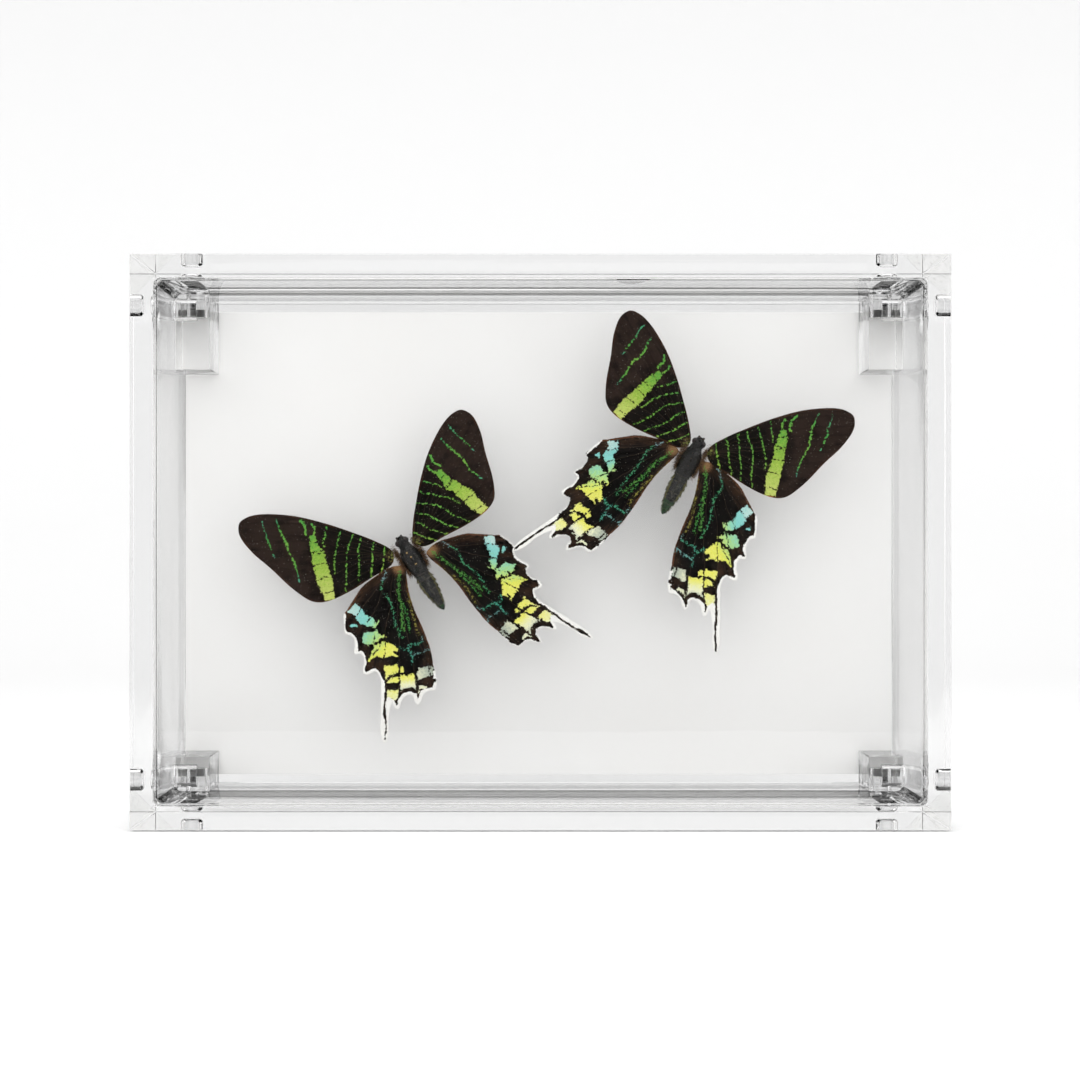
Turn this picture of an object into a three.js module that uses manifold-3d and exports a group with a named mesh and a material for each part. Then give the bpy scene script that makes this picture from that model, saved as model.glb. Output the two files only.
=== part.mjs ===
// A pair of green-banded sunset moths, spread and mounted in a clear acrylic box frame.
// Millimetres. The box stands on its bottom wall, +Z is up and its front faces -Y.
// The origin is on the surface it stands on, under the middle of the box.
import * as THREE from 'three';
import { mergeVertices } from 'three/addons/utils/BufferGeometryUtils.js';
import Module from 'manifold-3d';

const wasm = await Module();
wasm.setup();

// Driving dimensions of the box.
const WIDTH = 216;
const HEIGHT = 151.5;
const DEPTH = 54;
const SHEET = 6.35;             // quarter-inch sheet of the walls and the front
const BACK_SHEET = 3;
const BOARD_THICK = 1.5;
const BOARD_SHORT = 2.9;        // the board stops this far from the top and bottom walls
const GAP = 0.3;                // between pieces that touch
const BEAD = 1.2;               // cement bead along each inside corner

// Corner blocks and the pins that hold them to the walls.
const BLOCK_WIDE = 9.65;
const BLOCK_DEEP = 16;
const TOP_BLOCK_TALL = 21;
const BOTTOM_BLOCK_TALL = 9.75;
const PIN_R = 3.1;
const PIN_IN_BLOCK = 5.6;
const PIN_SKIN = 1;             // acrylic left between a pin's end and the outer face
const PIN_ROUND = 1.1;
const ROUND_STEPS = 3;
const PIN_SIDES = 18;
const UPRIGHT_PIN_INSET = 11.3; // from the box's side
const SIDE_PIN_INSET = 10.4;    // from the box's top or bottom
const UPRIGHT_PIN_FROM_BOARD = 4;
const SIDE_PIN_FROM_BOARD = 11.5;

// The moths: where each thorax is, how far the head leans to the right, and where the
// hinge, the tip and the rear corner of each wing lie in the moth's own frame
// (x out from the body, y towards the head).
const MOTHS = [
  {
    name: 'left_moth',
    at: [-35.5, 5.6, 71.5],
    lean: -31.9,
    wings: {
      left_forewing: [[3.8, 3.6], [36.2, 32.7], [28.2, 3.0]],
      right_forewing: [[3.1, 2.9], [34.3, 27.0], [26.9, 0.9]],
      left_hindwing: [[4.0, -0.1], [33.5, -39.7], [13.1, -34.2]],
      right_hindwing: [[4.9, -0.6], [30.9, -45.5], [11.6, -36.3]],
    },
  },
  {
    name: 'right_moth',
    at: [41.9, 4, 98.8],
    lean: 27.2,
    wings: {
      left_forewing: [[2.5, 3.5], [34.5, 28.3], [26.4, 2.0]],
      right_forewing: [[3.3, 4.2], [35.4, 30.3], [26.6, 1.5]],
      left_hindwing: [[4.7, 1.1], [32.3, -45.0], [12.6, -35.2]],
      right_hindwing: [[4.0, 1.4], [30.6, -44.6], [10.9, -35.0]],
    },
  },
];
const WING_THICK = 0.4;
const FOREWING_RISE = 0.9;      // underside of the forewing above the body's middle
const HINDWING_RISE = 0.1;
const WING_TILT = 4;            // degrees that the wings rise outwards
const POST_R = 1.6;
const POST_Y = -0.8;

// Forewing of a right side: a rounded triangle from the hinge to the blunt apex.
const FOREWING = {
  marks: [[3.3, 4.2], [35.4, 30.3], [26.6, 1.5]],
  smooth: true,
  outline: [
    [3.2, 4.3], [3.3, 5.8], [5.8, 9.8], [8.9, 13.6], [15.0, 20.4], [21.5, 26.3], [28.6, 30.6],
    [32.0, 31.5], [34.6, 31.0], [36.1, 28.1], [35.6, 22.7], [33.3, 15.9], [30.6, 7.4],
    [28.0, 2.6], [25.0, 0.9], [18.9, 0.4], [11.5, 1.1], [4.7, 2.0],
  ],
};

// Hindwing of a right side: scalloped outer margin, a long tail at the fourth vein and a
// row of short spikes to the rear corner.
const HINDWING = {
  marks: [[4.0, -0.1], [33.5, -39.7], [13.1, -34.2]],
  smooth: false,
  outline: [
    [3.2, -0.7], [5.5, 0.7], [7.8, 1.2], [11.7, 1.0], [15.8, 0.5], [18.5, -0.6], [22.3, -2.5],
    [24.5, -3.6], [25.4, -5.3], [26.3, -7.0], [26.7, -8.4],
    [25.7, -9.2], [25.5, -10.5], [26.2, -12.3], [27.4, -13.7], [27.3, -14.5],
    [26.2, -15.0], [25.9, -16.3], [26.5, -17.8], [27.9, -19.2], [28.2, -20.3], [27.5, -21.1],
    [26.4, -21.2], [25.3, -21.4], [24.9, -22.6], [25.3, -24.5], [26.8, -27.0], [30.3, -32.4],
    [33.2, -37.3], [33.5, -39.8], [31.4, -38.4], [29.3, -34.9], [27.2, -32.4], [25.8, -31.4],
    [26.0, -32.8], [25.7, -33.6], [24.7, -33.4], [23.3, -32.2], [21.7, -31.7], [20.5, -31.9],
    [20.0, -32.9], [20.4, -34.4], [20.1, -35.5], [19.0, -35.3], [17.2, -33.8], [15.4, -33.9],
    [14.1, -34.6], [13.0, -33.9], [12.1, -32.4], [11.2, -30.3], [10.7, -28.4], [9.7, -26.4],
    [8.9, -23.9], [8.1, -20.2], [7.5, -16.5], [7.0, -12.6], [6.1, -9.0], [5.0, -5.9],
    [3.8, -3.3],
  ],
};

// Body from the tail end to the forehead: distance along it and half its width.
const BODY = [
  [-17.0, 0], [-16.6, 0.55], [-15.6, 0.9], [-14.2, 1.25], [-12.6, 1.55], [-11.0, 1.8],
  [-9.0, 2.05], [-7.0, 2.15], [-5.4, 2.0], [-4.4, 2.2], [-3.0, 2.65], [-1.0, 2.9],
  [1.0, 2.85], [2.6, 2.35], [3.6, 1.6], [4.3, 1.55], [5.2, 1.75], [6.2, 1.35], [6.9, 0.7],
  [7.1, 0],
];
const BODY_FLAT = 0.92;         // height of the body over its width
const BODY_SIDES = 20;

// Six legs folded under the body, which hides them from the front: root, knee and foot of
// each pair on the right side.
const LEGS = [
  [[1.2, 2.0, -1.5], [1.6, 3.0, -2.7], [1.1, 5.6, -3.2]],
  [[1.3, -0.4, -1.7], [2.5, -1.4, -3.2], [1.6, -4.4, -3.8]],
  [[1.2, -2.8, -1.5], [1.7, -5.0, -2.8], [1.2, -8.8, -3.3]],
];
const LEG_R = [0.42, 0.32, 0.2];
const EYE_R = 0.85;
const EYE_AT = [1.15, 5.35, 0.25];

const COLOURS = {
  acrylic: new THREE.MeshStandardMaterial({
    color: 0xf4f7f7, roughness: 0.05, metalness: 0, transparent: true, opacity: 0.25,
  }),
  board: new THREE.MeshStandardMaterial({ color: 0xf2f2f0, roughness: 0.9, metalness: 0 }),
  wing: new THREE.MeshStandardMaterial({ color: 0x241a16, roughness: 0.7, metalness: 0 }),
  body: new THREE.MeshStandardMaterial({ color: 0x1d1b19, roughness: 0.6, metalness: 0 }),
};

const frame = new THREE.Group();

function addMesh(parent, name, geometry, material) {
  const mesh = new THREE.Mesh(geometry, material.clone());
  mesh.name = name;
  parent.add(mesh);
  return mesh;
}

function toSolid(geometry) {
  const bare = geometry.clone();
  bare.deleteAttribute('normal');
  bare.deleteAttribute('uv');
  const merged = mergeVertices(bare, 1e-5);
  const solid = new wasm.Manifold(new wasm.Mesh({
    numProp: 3,
    vertProperties: new Float32Array(merged.attributes.position.array),
    triVerts: new Uint32Array(merged.index.array),
  }));
  return solid;
}

function toGeometry(solid) {
  const mesh = solid.getMesh();
  const geometry = new THREE.BufferGeometry();
  geometry.setAttribute('position', new THREE.BufferAttribute(mesh.vertProperties, 3));
  geometry.setIndex(new THREE.BufferAttribute(mesh.triVerts, 1));
  geometry.computeVertexNormals();
  return geometry;
}

// A plate whose outline is drawn in X and Z, running from yFront back by thick.
function plate(outline, yFront, thick) {
  const shape = new THREE.Shape(outline.map(([x, z]) => new THREE.Vector2(x, z)));
  const geometry = new THREE.ExtrudeGeometry(shape, { depth: thick, bevelEnabled: false });
  geometry.rotateX(Math.PI / 2);
  geometry.translate(0, yFront + thick, 0);
  return geometry;
}

const innerX = WIDTH / 2 - SHEET;
const innerTop = HEIGHT - SHEET;
const boardFront = DEPTH / 2 - BACK_SHEET - GAP - BOARD_THICK;
const blockBack = boardFront - GAP;
const mitreGap = (GAP / 2) * Math.SQRT2;

// Pin with a rounded outer end, along +Y of its own frame; grown for the hole around it.
function pinGeometry(length, grow) {
  const r = PIN_R + grow;
  const top = length + grow;
  const points = [new THREE.Vector2(0, -grow), new THREE.Vector2(r, -grow)];
  for (let i = 0; i <= ROUND_STEPS; i += 1) {
    const a = (i / ROUND_STEPS) * (Math.PI / 2);
    points.push(new THREE.Vector2(
      r - PIN_ROUND + PIN_ROUND * Math.cos(a),
      top - PIN_ROUND + PIN_ROUND * Math.sin(a),
    ));
  }
  points.push(new THREE.Vector2(0, top));
  return new THREE.LatheGeometry(points, PIN_SIDES);
}

// The eight pins: one up or down and one sideways at each corner.
function cornerPins(sideX, sideZ) {
  const blockTall = sideZ > 0 ? TOP_BLOCK_TALL : BOTTOM_BLOCK_TALL;
  const length = SHEET - PIN_SKIN + PIN_IN_BLOCK;
  const edgeZ = sideZ > 0 ? HEIGHT : 0;
  const upright = new THREE.Matrix4().makeRotationX(sideZ > 0 ? Math.PI / 2 : -Math.PI / 2);
  upright.setPosition(
    sideX * (WIDTH / 2 - UPRIGHT_PIN_INSET),
    blockBack - UPRIGHT_PIN_FROM_BOARD,
    edgeZ - sideZ * (PIN_SKIN + length),
  );
  const sideways = new THREE.Matrix4().makeRotationZ(-sideX * (Math.PI / 2));
  sideways.setPosition(
    sideX * (WIDTH / 2 - PIN_SKIN - length),
    blockBack - SIDE_PIN_FROM_BOARD,
    edgeZ - sideZ * SIDE_PIN_INSET,
  );
  return { length, blockTall, upright, sideways };
}

function bored(geometry, holes) {
  let solid = toSolid(geometry);
  for (const hole of holes) solid = solid.subtract(toSolid(hole));
  return toGeometry(solid);
}

const corners = [
  ['top_left', -1, 1], ['top_right', 1, 1], ['bottom_left', -1, -1], ['bottom_right', 1, -1],
];
const holesIn = { top: [], bottom: [], left: [], right: [] };

for (const [name, sideX, sideZ] of corners) {
  const pins = cornerPins(sideX, sideZ);
  const uprightHole = pinGeometry(pins.length, GAP).applyMatrix4(pins.upright);
  const sideHole = pinGeometry(pins.length, GAP).applyMatrix4(pins.sideways);
  holesIn[sideZ > 0 ? 'top' : 'bottom'].push(uprightHole);
  holesIn[sideX > 0 ? 'right' : 'left'].push(sideHole);

  const outerX = sideX * (innerX - GAP);
  const nearX = outerX - sideX * BLOCK_WIDE;
  const outerZ = sideZ > 0 ? innerTop - GAP : SHEET + GAP;
  const nearZ = outerZ - sideZ * pins.blockTall;
  const cut = BEAD + GAP;
  const outline = [
    [outerX - sideX * cut, outerZ], [nearX, outerZ], [nearX, nearZ], [outerX, nearZ],
    [outerX, outerZ - sideZ * cut],
  ];
  const block = plate(outline, blockBack - BLOCK_DEEP, BLOCK_DEEP);
  addMesh(frame, `${name}_block`, bored(block, [uprightHole, sideHole]), COLOURS.acrylic);

  const uprightPin = addMesh(frame, `${name}_upright_pin`, pinGeometry(pins.length, 0), COLOURS.acrylic);
  uprightPin.applyMatrix4(pins.upright);
  const sidePin = addMesh(frame, `${name}_side_pin`, pinGeometry(pins.length, 0), COLOURS.acrylic);
  sidePin.applyMatrix4(pins.sideways);
}

// Mitred walls. The side walls carry the cement beads of the inside corners.
function levelWall(sideZ) {
  const out = sideZ > 0 ? HEIGHT : 0;
  const inside = out - sideZ * SHEET;
  const half = WIDTH / 2 - mitreGap;
  return [[-half, out], [half, out], [half - SHEET, inside], [SHEET - half, inside]];
}

function sideWall(sideX) {
  const out = sideX * (WIDTH / 2);
  const inside = sideX * innerX;
  const beadX = inside - sideX * BEAD;
  return [
    [out, mitreGap], [inside, SHEET + mitreGap], [beadX, SHEET + GAP],
    [inside, SHEET + GAP + BEAD], [inside, innerTop - GAP - BEAD], [beadX, innerTop - GAP],
    [inside, innerTop - mitreGap], [out, HEIGHT - mitreGap],
  ];
}

const walls = {
  top: levelWall(1), bottom: levelWall(-1), left: sideWall(-1), right: sideWall(1),
};
for (const [side, outline] of Object.entries(walls)) {
  const wall = bored(plate(outline, -DEPTH / 2, DEPTH), holesIn[side]);
  addMesh(frame, `${side}_wall`, wall, COLOURS.acrylic);
}

// Panel let in between the walls, its corners cut to clear the cement beads.
function letInOutline(short) {
  const x = innerX - GAP;
  const low = SHEET + GAP + short;
  const high = innerTop - GAP - short;
  const cut = short > 0 ? 0 : BEAD + GAP;
  if (cut === 0) return [[-x, low], [x, low], [x, high], [-x, high]];
  return [
    [-x + cut, low], [x - cut, low], [x, low + cut], [x, high - cut],
    [x - cut, high], [-x + cut, high], [-x, high - cut], [-x, low + cut],
  ];
}

addMesh(frame, 'front_panel', plate(letInOutline(0), -DEPTH / 2, SHEET), COLOURS.acrylic);
addMesh(frame, 'back_panel', plate(letInOutline(0), DEPTH / 2 - BACK_SHEET, BACK_SHEET), COLOURS.acrylic);
addMesh(frame, 'backing_board', plate(letInOutline(BOARD_SHORT), boardFront, BOARD_THICK), COLOURS.board);

// Half the body's width at a distance along it.
function bodyHalfWidth(y) {
  for (let i = 1; i < BODY.length; i += 1) {
    const [y0, w0] = BODY[i - 1];
    const [y1, w1] = BODY[i];
    if (y >= y0 && y <= y1) return w0 + ((w1 - w0) * (y - y0)) / (y1 - y0);
  }
  return 0;
}

// The flat map that takes a wing's three marks to where they lie on one moth.
function wingMap(from, to) {
  const basis = new THREE.Matrix3().set(
    from[0][0], from[1][0], from[2][0],
    from[0][1], from[1][1], from[2][1],
    1, 1, 1,
  );
  const target = new THREE.Matrix3().set(
    to[0][0], to[1][0], to[2][0],
    to[0][1], to[1][1], to[2][1],
    1, 1, 1,
  );
  return target.multiply(basis.invert());
}

// Thin wing plate that rises outwards from the body, for the right side or mirrored.
function wingGeometry(kind, marks, side, rise) {
  const map = wingMap(kind.marks, marks);
  let points = kind.outline.map(([x, y]) => new THREE.Vector3(x, y, 0));
  if (kind.smooth) {
    points = new THREE.CatmullRomCurve3(points, true, 'centripetal').getPoints(64);
    points.pop();
  }
  const flat = points.map((p) => {
    const q = new THREE.Vector3(p.x, p.y, 1).applyMatrix3(map);
    return new THREE.Vector2(side * Math.max(q.x, bodyHalfWidth(q.y) + GAP + 0.1), q.y);
  });
  const wing = new THREE.Shape(flat);
  const geometry = new THREE.ExtrudeGeometry(wing, { depth: WING_THICK, bevelEnabled: false });
  const lift = Math.tan(THREE.MathUtils.degToRad(WING_TILT));
  const position = geometry.attributes.position;
  for (let i = 0; i < position.count; i += 1) {
    const up = position.getZ(i) + rise + Math.abs(position.getX(i)) * lift;
    position.setZ(i, up);
  }
  geometry.computeVertexNormals();
  return geometry;
}

// Round bar between two points, thinner at its far end.
function limb(from, to, rFrom, rTo) {
  const a = new THREE.Vector3(...from);
  const b = new THREE.Vector3(...to);
  const bar = new THREE.CylinderGeometry(rTo, rFrom, a.distanceTo(b) + rTo, 7);
  const turn = new THREE.Quaternion().setFromUnitVectors(
    new THREE.Vector3(0, 1, 0),
    b.clone().sub(a).normalize(),
  );
  bar.applyQuaternion(turn);
  const middle = a.add(b).multiplyScalar(0.5);
  bar.translate(middle.x, middle.y, middle.z);
  return bar;
}

// Thorax, abdomen and head in one, with the eyes, the palps and the folded legs.
function bodyGeometry() {
  const profile = BODY.map(([y, w]) => new THREE.Vector2(w, y));
  const trunk = new THREE.LatheGeometry(profile, BODY_SIDES).scale(1, 1, BODY_FLAT);
  let solid = toSolid(trunk);
  for (const side of [-1, 1]) {
    const flip = ([x, y, z]) => [side * x, y, z];
    const eye = new THREE.SphereGeometry(EYE_R, 10, 8).translate(...flip(EYE_AT));
    solid = solid.add(toSolid(eye));
    const palp = limb(flip([0.4, 6.3, -0.4]), flip([0.75, 7.9, -0.1]), 0.42, 0.2);
    solid = solid.add(toSolid(palp));
    for (const [root, knee, foot] of LEGS) {
      solid = solid.add(toSolid(limb(flip(root), flip(knee), LEG_R[0], LEG_R[1])));
      solid = solid.add(toSolid(limb(flip(knee), flip(foot), LEG_R[1], LEG_R[2])));
    }
  }
  return toGeometry(solid);
}

for (const moth of MOTHS) {
  const placed = new THREE.Group();
  placed.position.set(...moth.at);
  placed.rotation.y = THREE.MathUtils.degToRad(moth.lean);
  frame.add(placed);
  const faceUp = new THREE.Group();
  faceUp.rotation.x = Math.PI / 2;
  placed.add(faceUp);

  addMesh(faceUp, `${moth.name}_body`, bodyGeometry(), COLOURS.body);
  for (const [name, marks] of Object.entries(moth.wings)) {
    const fore = name.endsWith('forewing');
    const kind = fore ? FOREWING : HINDWING;
    const side = name.startsWith('right') ? 1 : -1;
    const rise = fore ? FOREWING_RISE : HINDWING_RISE;
    addMesh(faceUp, `${moth.name}_${name}`, wingGeometry(kind, marks, side, rise), COLOURS.wing);
  }

  // Clear post from the board to the underside of the thorax.
  const postTop = -bodyHalfWidth(POST_Y) * BODY_FLAT - GAP;
  const postBottom = moth.at[1] - boardFront + GAP;
  const post = new THREE.CylinderGeometry(POST_R, POST_R, postTop - postBottom, 24);
  post.rotateX(Math.PI / 2);
  post.translate(0, POST_Y, (postTop + postBottom) / 2);
  addMesh(faceUp, `${moth.name}_post`, post, COLOURS.acrylic);
}

export default frame;
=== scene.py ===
# A pair of green-banded sunset moths, spread and mounted in a clear acrylic box frame.
# Lengths are in metres, and mm turns a size in millimetres into metres.
import math

import bmesh
import bpy
import numpy as np
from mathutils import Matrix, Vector
from mathutils.geometry import delaunay_2d_cdt


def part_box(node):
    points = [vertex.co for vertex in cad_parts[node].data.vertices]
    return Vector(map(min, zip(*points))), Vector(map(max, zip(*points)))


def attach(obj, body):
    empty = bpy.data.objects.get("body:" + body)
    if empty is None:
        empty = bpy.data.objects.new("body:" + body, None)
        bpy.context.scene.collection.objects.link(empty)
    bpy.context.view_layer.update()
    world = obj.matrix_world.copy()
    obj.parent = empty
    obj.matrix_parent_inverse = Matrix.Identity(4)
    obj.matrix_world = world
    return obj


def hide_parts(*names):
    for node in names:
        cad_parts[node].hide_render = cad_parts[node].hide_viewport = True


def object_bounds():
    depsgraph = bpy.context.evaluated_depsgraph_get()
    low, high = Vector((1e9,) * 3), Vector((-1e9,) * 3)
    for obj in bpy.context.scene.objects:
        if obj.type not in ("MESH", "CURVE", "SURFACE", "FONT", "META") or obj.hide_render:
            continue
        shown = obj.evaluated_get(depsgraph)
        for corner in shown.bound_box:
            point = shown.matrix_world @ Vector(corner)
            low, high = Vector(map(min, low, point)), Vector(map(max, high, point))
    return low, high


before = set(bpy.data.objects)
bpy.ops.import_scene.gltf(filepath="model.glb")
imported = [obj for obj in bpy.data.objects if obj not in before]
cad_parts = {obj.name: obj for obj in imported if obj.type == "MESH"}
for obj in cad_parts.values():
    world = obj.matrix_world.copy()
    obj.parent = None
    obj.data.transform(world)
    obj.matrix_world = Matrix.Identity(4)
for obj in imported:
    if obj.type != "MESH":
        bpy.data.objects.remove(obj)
solid_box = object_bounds()
mm = 0.001

# Camera
# The picture is taken square on to the front from half a metre away, with the lens a little
# left of the box's middle and a little low, which a small shift of the lens makes up for.
PICTURE_WIDTH = 283.6 * mm       # what the picture is wide at the front face
CAMERA_AWAY = 490 * mm
CAMERA_X = -5.1 * mm
CAMERA_Z = 71.8 * mm
SENSOR = 36

box_low, box_high = solid_box
bpy.ops.object.select_all(action="DESELECT")
bpy.ops.object.camera_add(
    location=(CAMERA_X, box_low.y - CAMERA_AWAY, CAMERA_Z), rotation=(math.pi / 2, 0, 0)
)
camera = bpy.context.object
camera.data.sensor_width = SENSOR
camera.data.lens = SENSOR * CAMERA_AWAY / PICTURE_WIDTH
camera.data.shift_x = 0.0176
camera.data.shift_y = 0.0157
camera.data.clip_start = 0.01
camera.data.clip_end = 20
bpy.context.scene.camera = camera

# Studio
# A white sweep for floor and background, and light from all round that is strongest above the
# front. The sweep turns greyer with distance, so that the clear walls read by their edges.
FLOOR_LEVEL = -0.4 * mm
SWEEP_HALF = 4
SWEEP_BACK = 1.2
SWEEP_FRONT = -0.3               # just past where the picture ends
SWEEP_HIGH = 5
SWEEP_BEND = 0.6


def linear(hex_colour):
    """sRGB hex colour as linear red, green, blue and alpha."""
    channels = [int(hex_colour[i:i + 2], 16) / 255 for i in (1, 3, 5)]
    return [c / 12.92 if c <= 0.04045 else ((c + 0.055) / 1.055) ** 2.4 for c in channels] + [1]


def node(tree, kind, inputs=None, out=0, stops=(), **settings):
    """Adds a node with its settings, its values or links by input, and returns an output."""
    made = tree.nodes.new(kind)
    for name, value in settings.items():
        setattr(made, name, value)
    for name, value in (inputs or {}).items():
        if isinstance(value, bpy.types.NodeSocket):
            tree.links.new(made.inputs[name], value)
        else:
            made.inputs[name].default_value = linear(value) if isinstance(value, str) else value
    for number, (place, colour) in enumerate(stops):
        points = made.color_ramp.elements
        point = points[number] if number < 2 else points.new(place)
        point.position = place
        point.color = linear(colour)
    return made.outputs[out]


def new_material(name):
    """A material with its Principled shader, which is returned with the node tree."""
    material = bpy.data.materials.new(name)
    material.use_nodes = True
    tree = material.node_tree
    return material, tree, tree.nodes["Principled BSDF"]


bpy.ops.object.select_all(action="DESELECT")
bpy.ops.mesh.primitive_plane_add(size=1, location=(0, 0, FLOOR_LEVEL))
sweep = bpy.context.object
sweep.name = "studio_sweep"
for corner in sweep.data.vertices:
    corner.co.x *= 2 * SWEEP_HALF
    corner.co.y = SWEEP_BACK if corner.co.y > 0 else SWEEP_FRONT
bpy.ops.object.mode_set(mode="EDIT")
bpy.ops.mesh.select_mode(type="EDGE")
bpy.ops.mesh.select_all(action="DESELECT")
bpy.ops.object.mode_set(mode="OBJECT")
for edge in sweep.data.edges:
    edge.select = all(sweep.data.vertices[v].co.y > 0 for v in edge.vertices)
bpy.ops.object.mode_set(mode="EDIT")
bpy.ops.mesh.extrude_region_move(TRANSFORM_OT_translate={"value": (0, 0, SWEEP_HIGH)})
bpy.ops.object.mode_set(mode="OBJECT")
bend = sweep.modifiers.new("bend", "BEVEL")
bend.width = SWEEP_BEND
bend.segments = 16
bpy.ops.object.modifier_apply(modifier=bend.name)
bpy.ops.object.shade_smooth()
paper, tree, surface = new_material("white background paper")
# Its colour is painted lightest under and round the box, a painted brightening against the shade
# that the box casts there, which keeps all of it white in the picture.
place = node(tree, "ShaderNodeTexCoord", out="Object")
away = node(tree, "ShaderNodeVectorMath", {0: place}, out="Value", operation="LENGTH")
shade = node(
    tree, "ShaderNodeValToRGB", {"Fac": away},
    stops=((0.12, "#f3f3f3"), (0.45, "#e3e3e3"), (1.0, "#d9d9d9")),
)
tree.links.new(surface.inputs["Base Color"], shade)
surface.inputs["Roughness"].default_value = 1
surface.inputs["Specular IOR Level"].default_value = 0
sweep.data.materials.append(paper)

world = bpy.data.worlds.new("studio light")
bpy.context.scene.world = world
world.use_nodes = True
tree = world.node_tree
way = node(tree, "ShaderNodeTexCoord", out="Generated")
BRIGHT_WAY = Vector((0.1, -0.7, 0.7)).normalized()
toward_bright = node(
    tree, "ShaderNodeVectorMath", {0: way, 1: BRIGHT_WAY}, out="Value", operation="DOT_PRODUCT"
)
bright = node(
    tree, "ShaderNodeMapRange",
    {"Value": toward_bright, "From Min": -0.2, "From Max": 0.9, "To Min": 0.8, "To Max": 1.71},
    interpolation_type="SMOOTHSTEP",
)
tree.links.new(tree.nodes["Background"].inputs["Strength"], bright)
tree.nodes["Background"].inputs["Color"].default_value = linear("#fefefe")
world.cycles.sampling_method = "NONE"     # even light needs no light sampling

# A black card round the lens keeps the bright room out of both faces of the front panel.
CARD_SIZE = 0.5
CARD_BEHIND = 0.1                # behind the lens
bpy.ops.object.select_all(action="DESELECT")
bpy.ops.mesh.primitive_plane_add(
    size=CARD_SIZE, location=(0, box_low.y - CAMERA_AWAY - CARD_BEHIND, CAMERA_Z),
    rotation=(math.pi / 2, 0, 0),
)
card = bpy.context.object
card.name = "studio_black_card"
card.visible_camera = False
card.visible_diffuse = False
card.visible_shadow = False
felt, tree, surface = new_material("black felt")
surface.inputs["Base Color"].default_value = linear("#050505")
surface.inputs["Roughness"].default_value = 1
surface.inputs["Specular IOR Level"].default_value = 0
# Only rays meet it that the front panel, or the moths behind it, have mirrored.
mirrored = node(tree, "ShaderNodeLightPath", out="Glossy Depth")
crossed = node(tree, "ShaderNodeLightPath", out="Transmission Depth")
shallow = node(tree, "ShaderNodeMath", {0: crossed, 1: 4.5}, operation="LESS_THAN")
mirrored = node(tree, "ShaderNodeMath", {0: mirrored, 1: shallow}, operation="MULTIPLY")
see_through = node(tree, "ShaderNodeBsdfTransparent")
felt_mix = node(
    tree, "ShaderNodeMixShader", {"Fac": mirrored, 1: see_through, 2: surface.outputs["BSDF"]}
)
tree.links.new(tree.nodes["Material Output"].inputs["Surface"], felt_mix)
card.data.materials.append(felt)
sweep.visible_glossy = False

scene = bpy.context.scene
scene.view_settings.view_transform = "Standard"
scene.cycles.max_bounces = 12
scene.cycles.transmission_bounces = 12
scene.cycles.glossy_bounces = 6
scene.cycles.diffuse_bounces = 2
scene.cycles.blur_glossy = 0
scene.cycles.transparent_max_bounces = 16
scene.cycles.use_denoising = True

# Clear box
# Top, bottom and side walls of quarter-inch clear cast acrylic, mitred and cemented at the
# corners, with the front panel let in between them. The edges are flame-polished.
WALL = 6.35 * mm
BACK_SHEET = 3 * mm
JOINT = 0.03 * mm                # what shows of a cemented joint
BEAD = 1.2 * mm                  # cement squeezed out along each inside corner
EDGE_ROUND = 0.25 * mm
MITRE_ROUND = 0.2                # share of that rounding left along a cemented mitre

width = box_high.x - box_low.x
height = box_high.z
inner_x = width / 2 - WALL
inner_low = WALL
inner_high = height - WALL
board_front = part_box("backing_board")[0].y
block_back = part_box("top_left_block")[1].y
block_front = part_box("top_left_block")[0].y

acrylic, tree, surface = new_material("clear cast acrylic")
# Light passes straight through and bends at each face, and thick sheet takes a little of it
# away. The flame-polished faces are a little wavy, so lines seen through the edges wander.
surface.inputs["Base Color"].default_value = linear("#f6f6f6")
surface.inputs["Transmission Weight"].default_value = 1
surface.inputs["IOR"].default_value = 1.49
surface.inputs["Roughness"].default_value = 0
place = node(tree, "ShaderNodeTexCoord", out="Object")
waves = node(tree, "ShaderNodeTexNoise", {"Vector": place, "Scale": 60, "Detail": 1})
wavy = node(tree, "ShaderNodeBump", {"Height": waves, "Strength": 0.02, "Distance": 0.0008})
tree.links.new(surface.inputs["Normal"], wavy)

cement, tree, surface = new_material("cured solvent cement")
# The same clear plastic again, so light goes on straight from a wall into its mitre joint. It
# has a few small bubbles.
surface.inputs["Transmission Weight"].default_value = 1
surface.inputs["IOR"].default_value = 1
surface.inputs["Roughness"].default_value = 0
place = node(tree, "ShaderNodeTexCoord", out="Object")
froth = node(tree, "ShaderNodeTexNoise", {"Vector": place, "Scale": 900, "Detail": 2})
bubbles = node(
    tree, "ShaderNodeValToRGB", {"Fac": froth}, stops=((0.3, "#d8d8d6"), (0.38, "#fdfdfc"))
)
tree.links.new(surface.inputs["Base Color"], bubbles)
MITRE_AREA = 2e-4                # square metres; a wall's other slanted faces are smaller


def plate(name, outline, y_front, y_back):
    """A flat sheet: a ring of corners is set to the outline and extruded backwards."""
    bpy.ops.object.select_all(action="DESELECT")
    bpy.ops.mesh.primitive_circle_add(vertices=len(outline), fill_type="NGON")
    piece = bpy.context.object
    piece.name = name
    for corner, (x, z) in zip(piece.data.vertices, outline):
        corner.co = (x, y_front, z)
    bpy.ops.object.mode_set(mode="EDIT")
    bpy.ops.mesh.select_all(action="SELECT")
    bpy.ops.mesh.extrude_region_move(TRANSFORM_OT_translate={"value": (0, y_back - y_front, 0)})
    bpy.ops.mesh.select_all(action="SELECT")
    bpy.ops.mesh.normals_make_consistent(inside=False)
    bpy.ops.object.mode_set(mode="OBJECT")
    return piece


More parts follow.
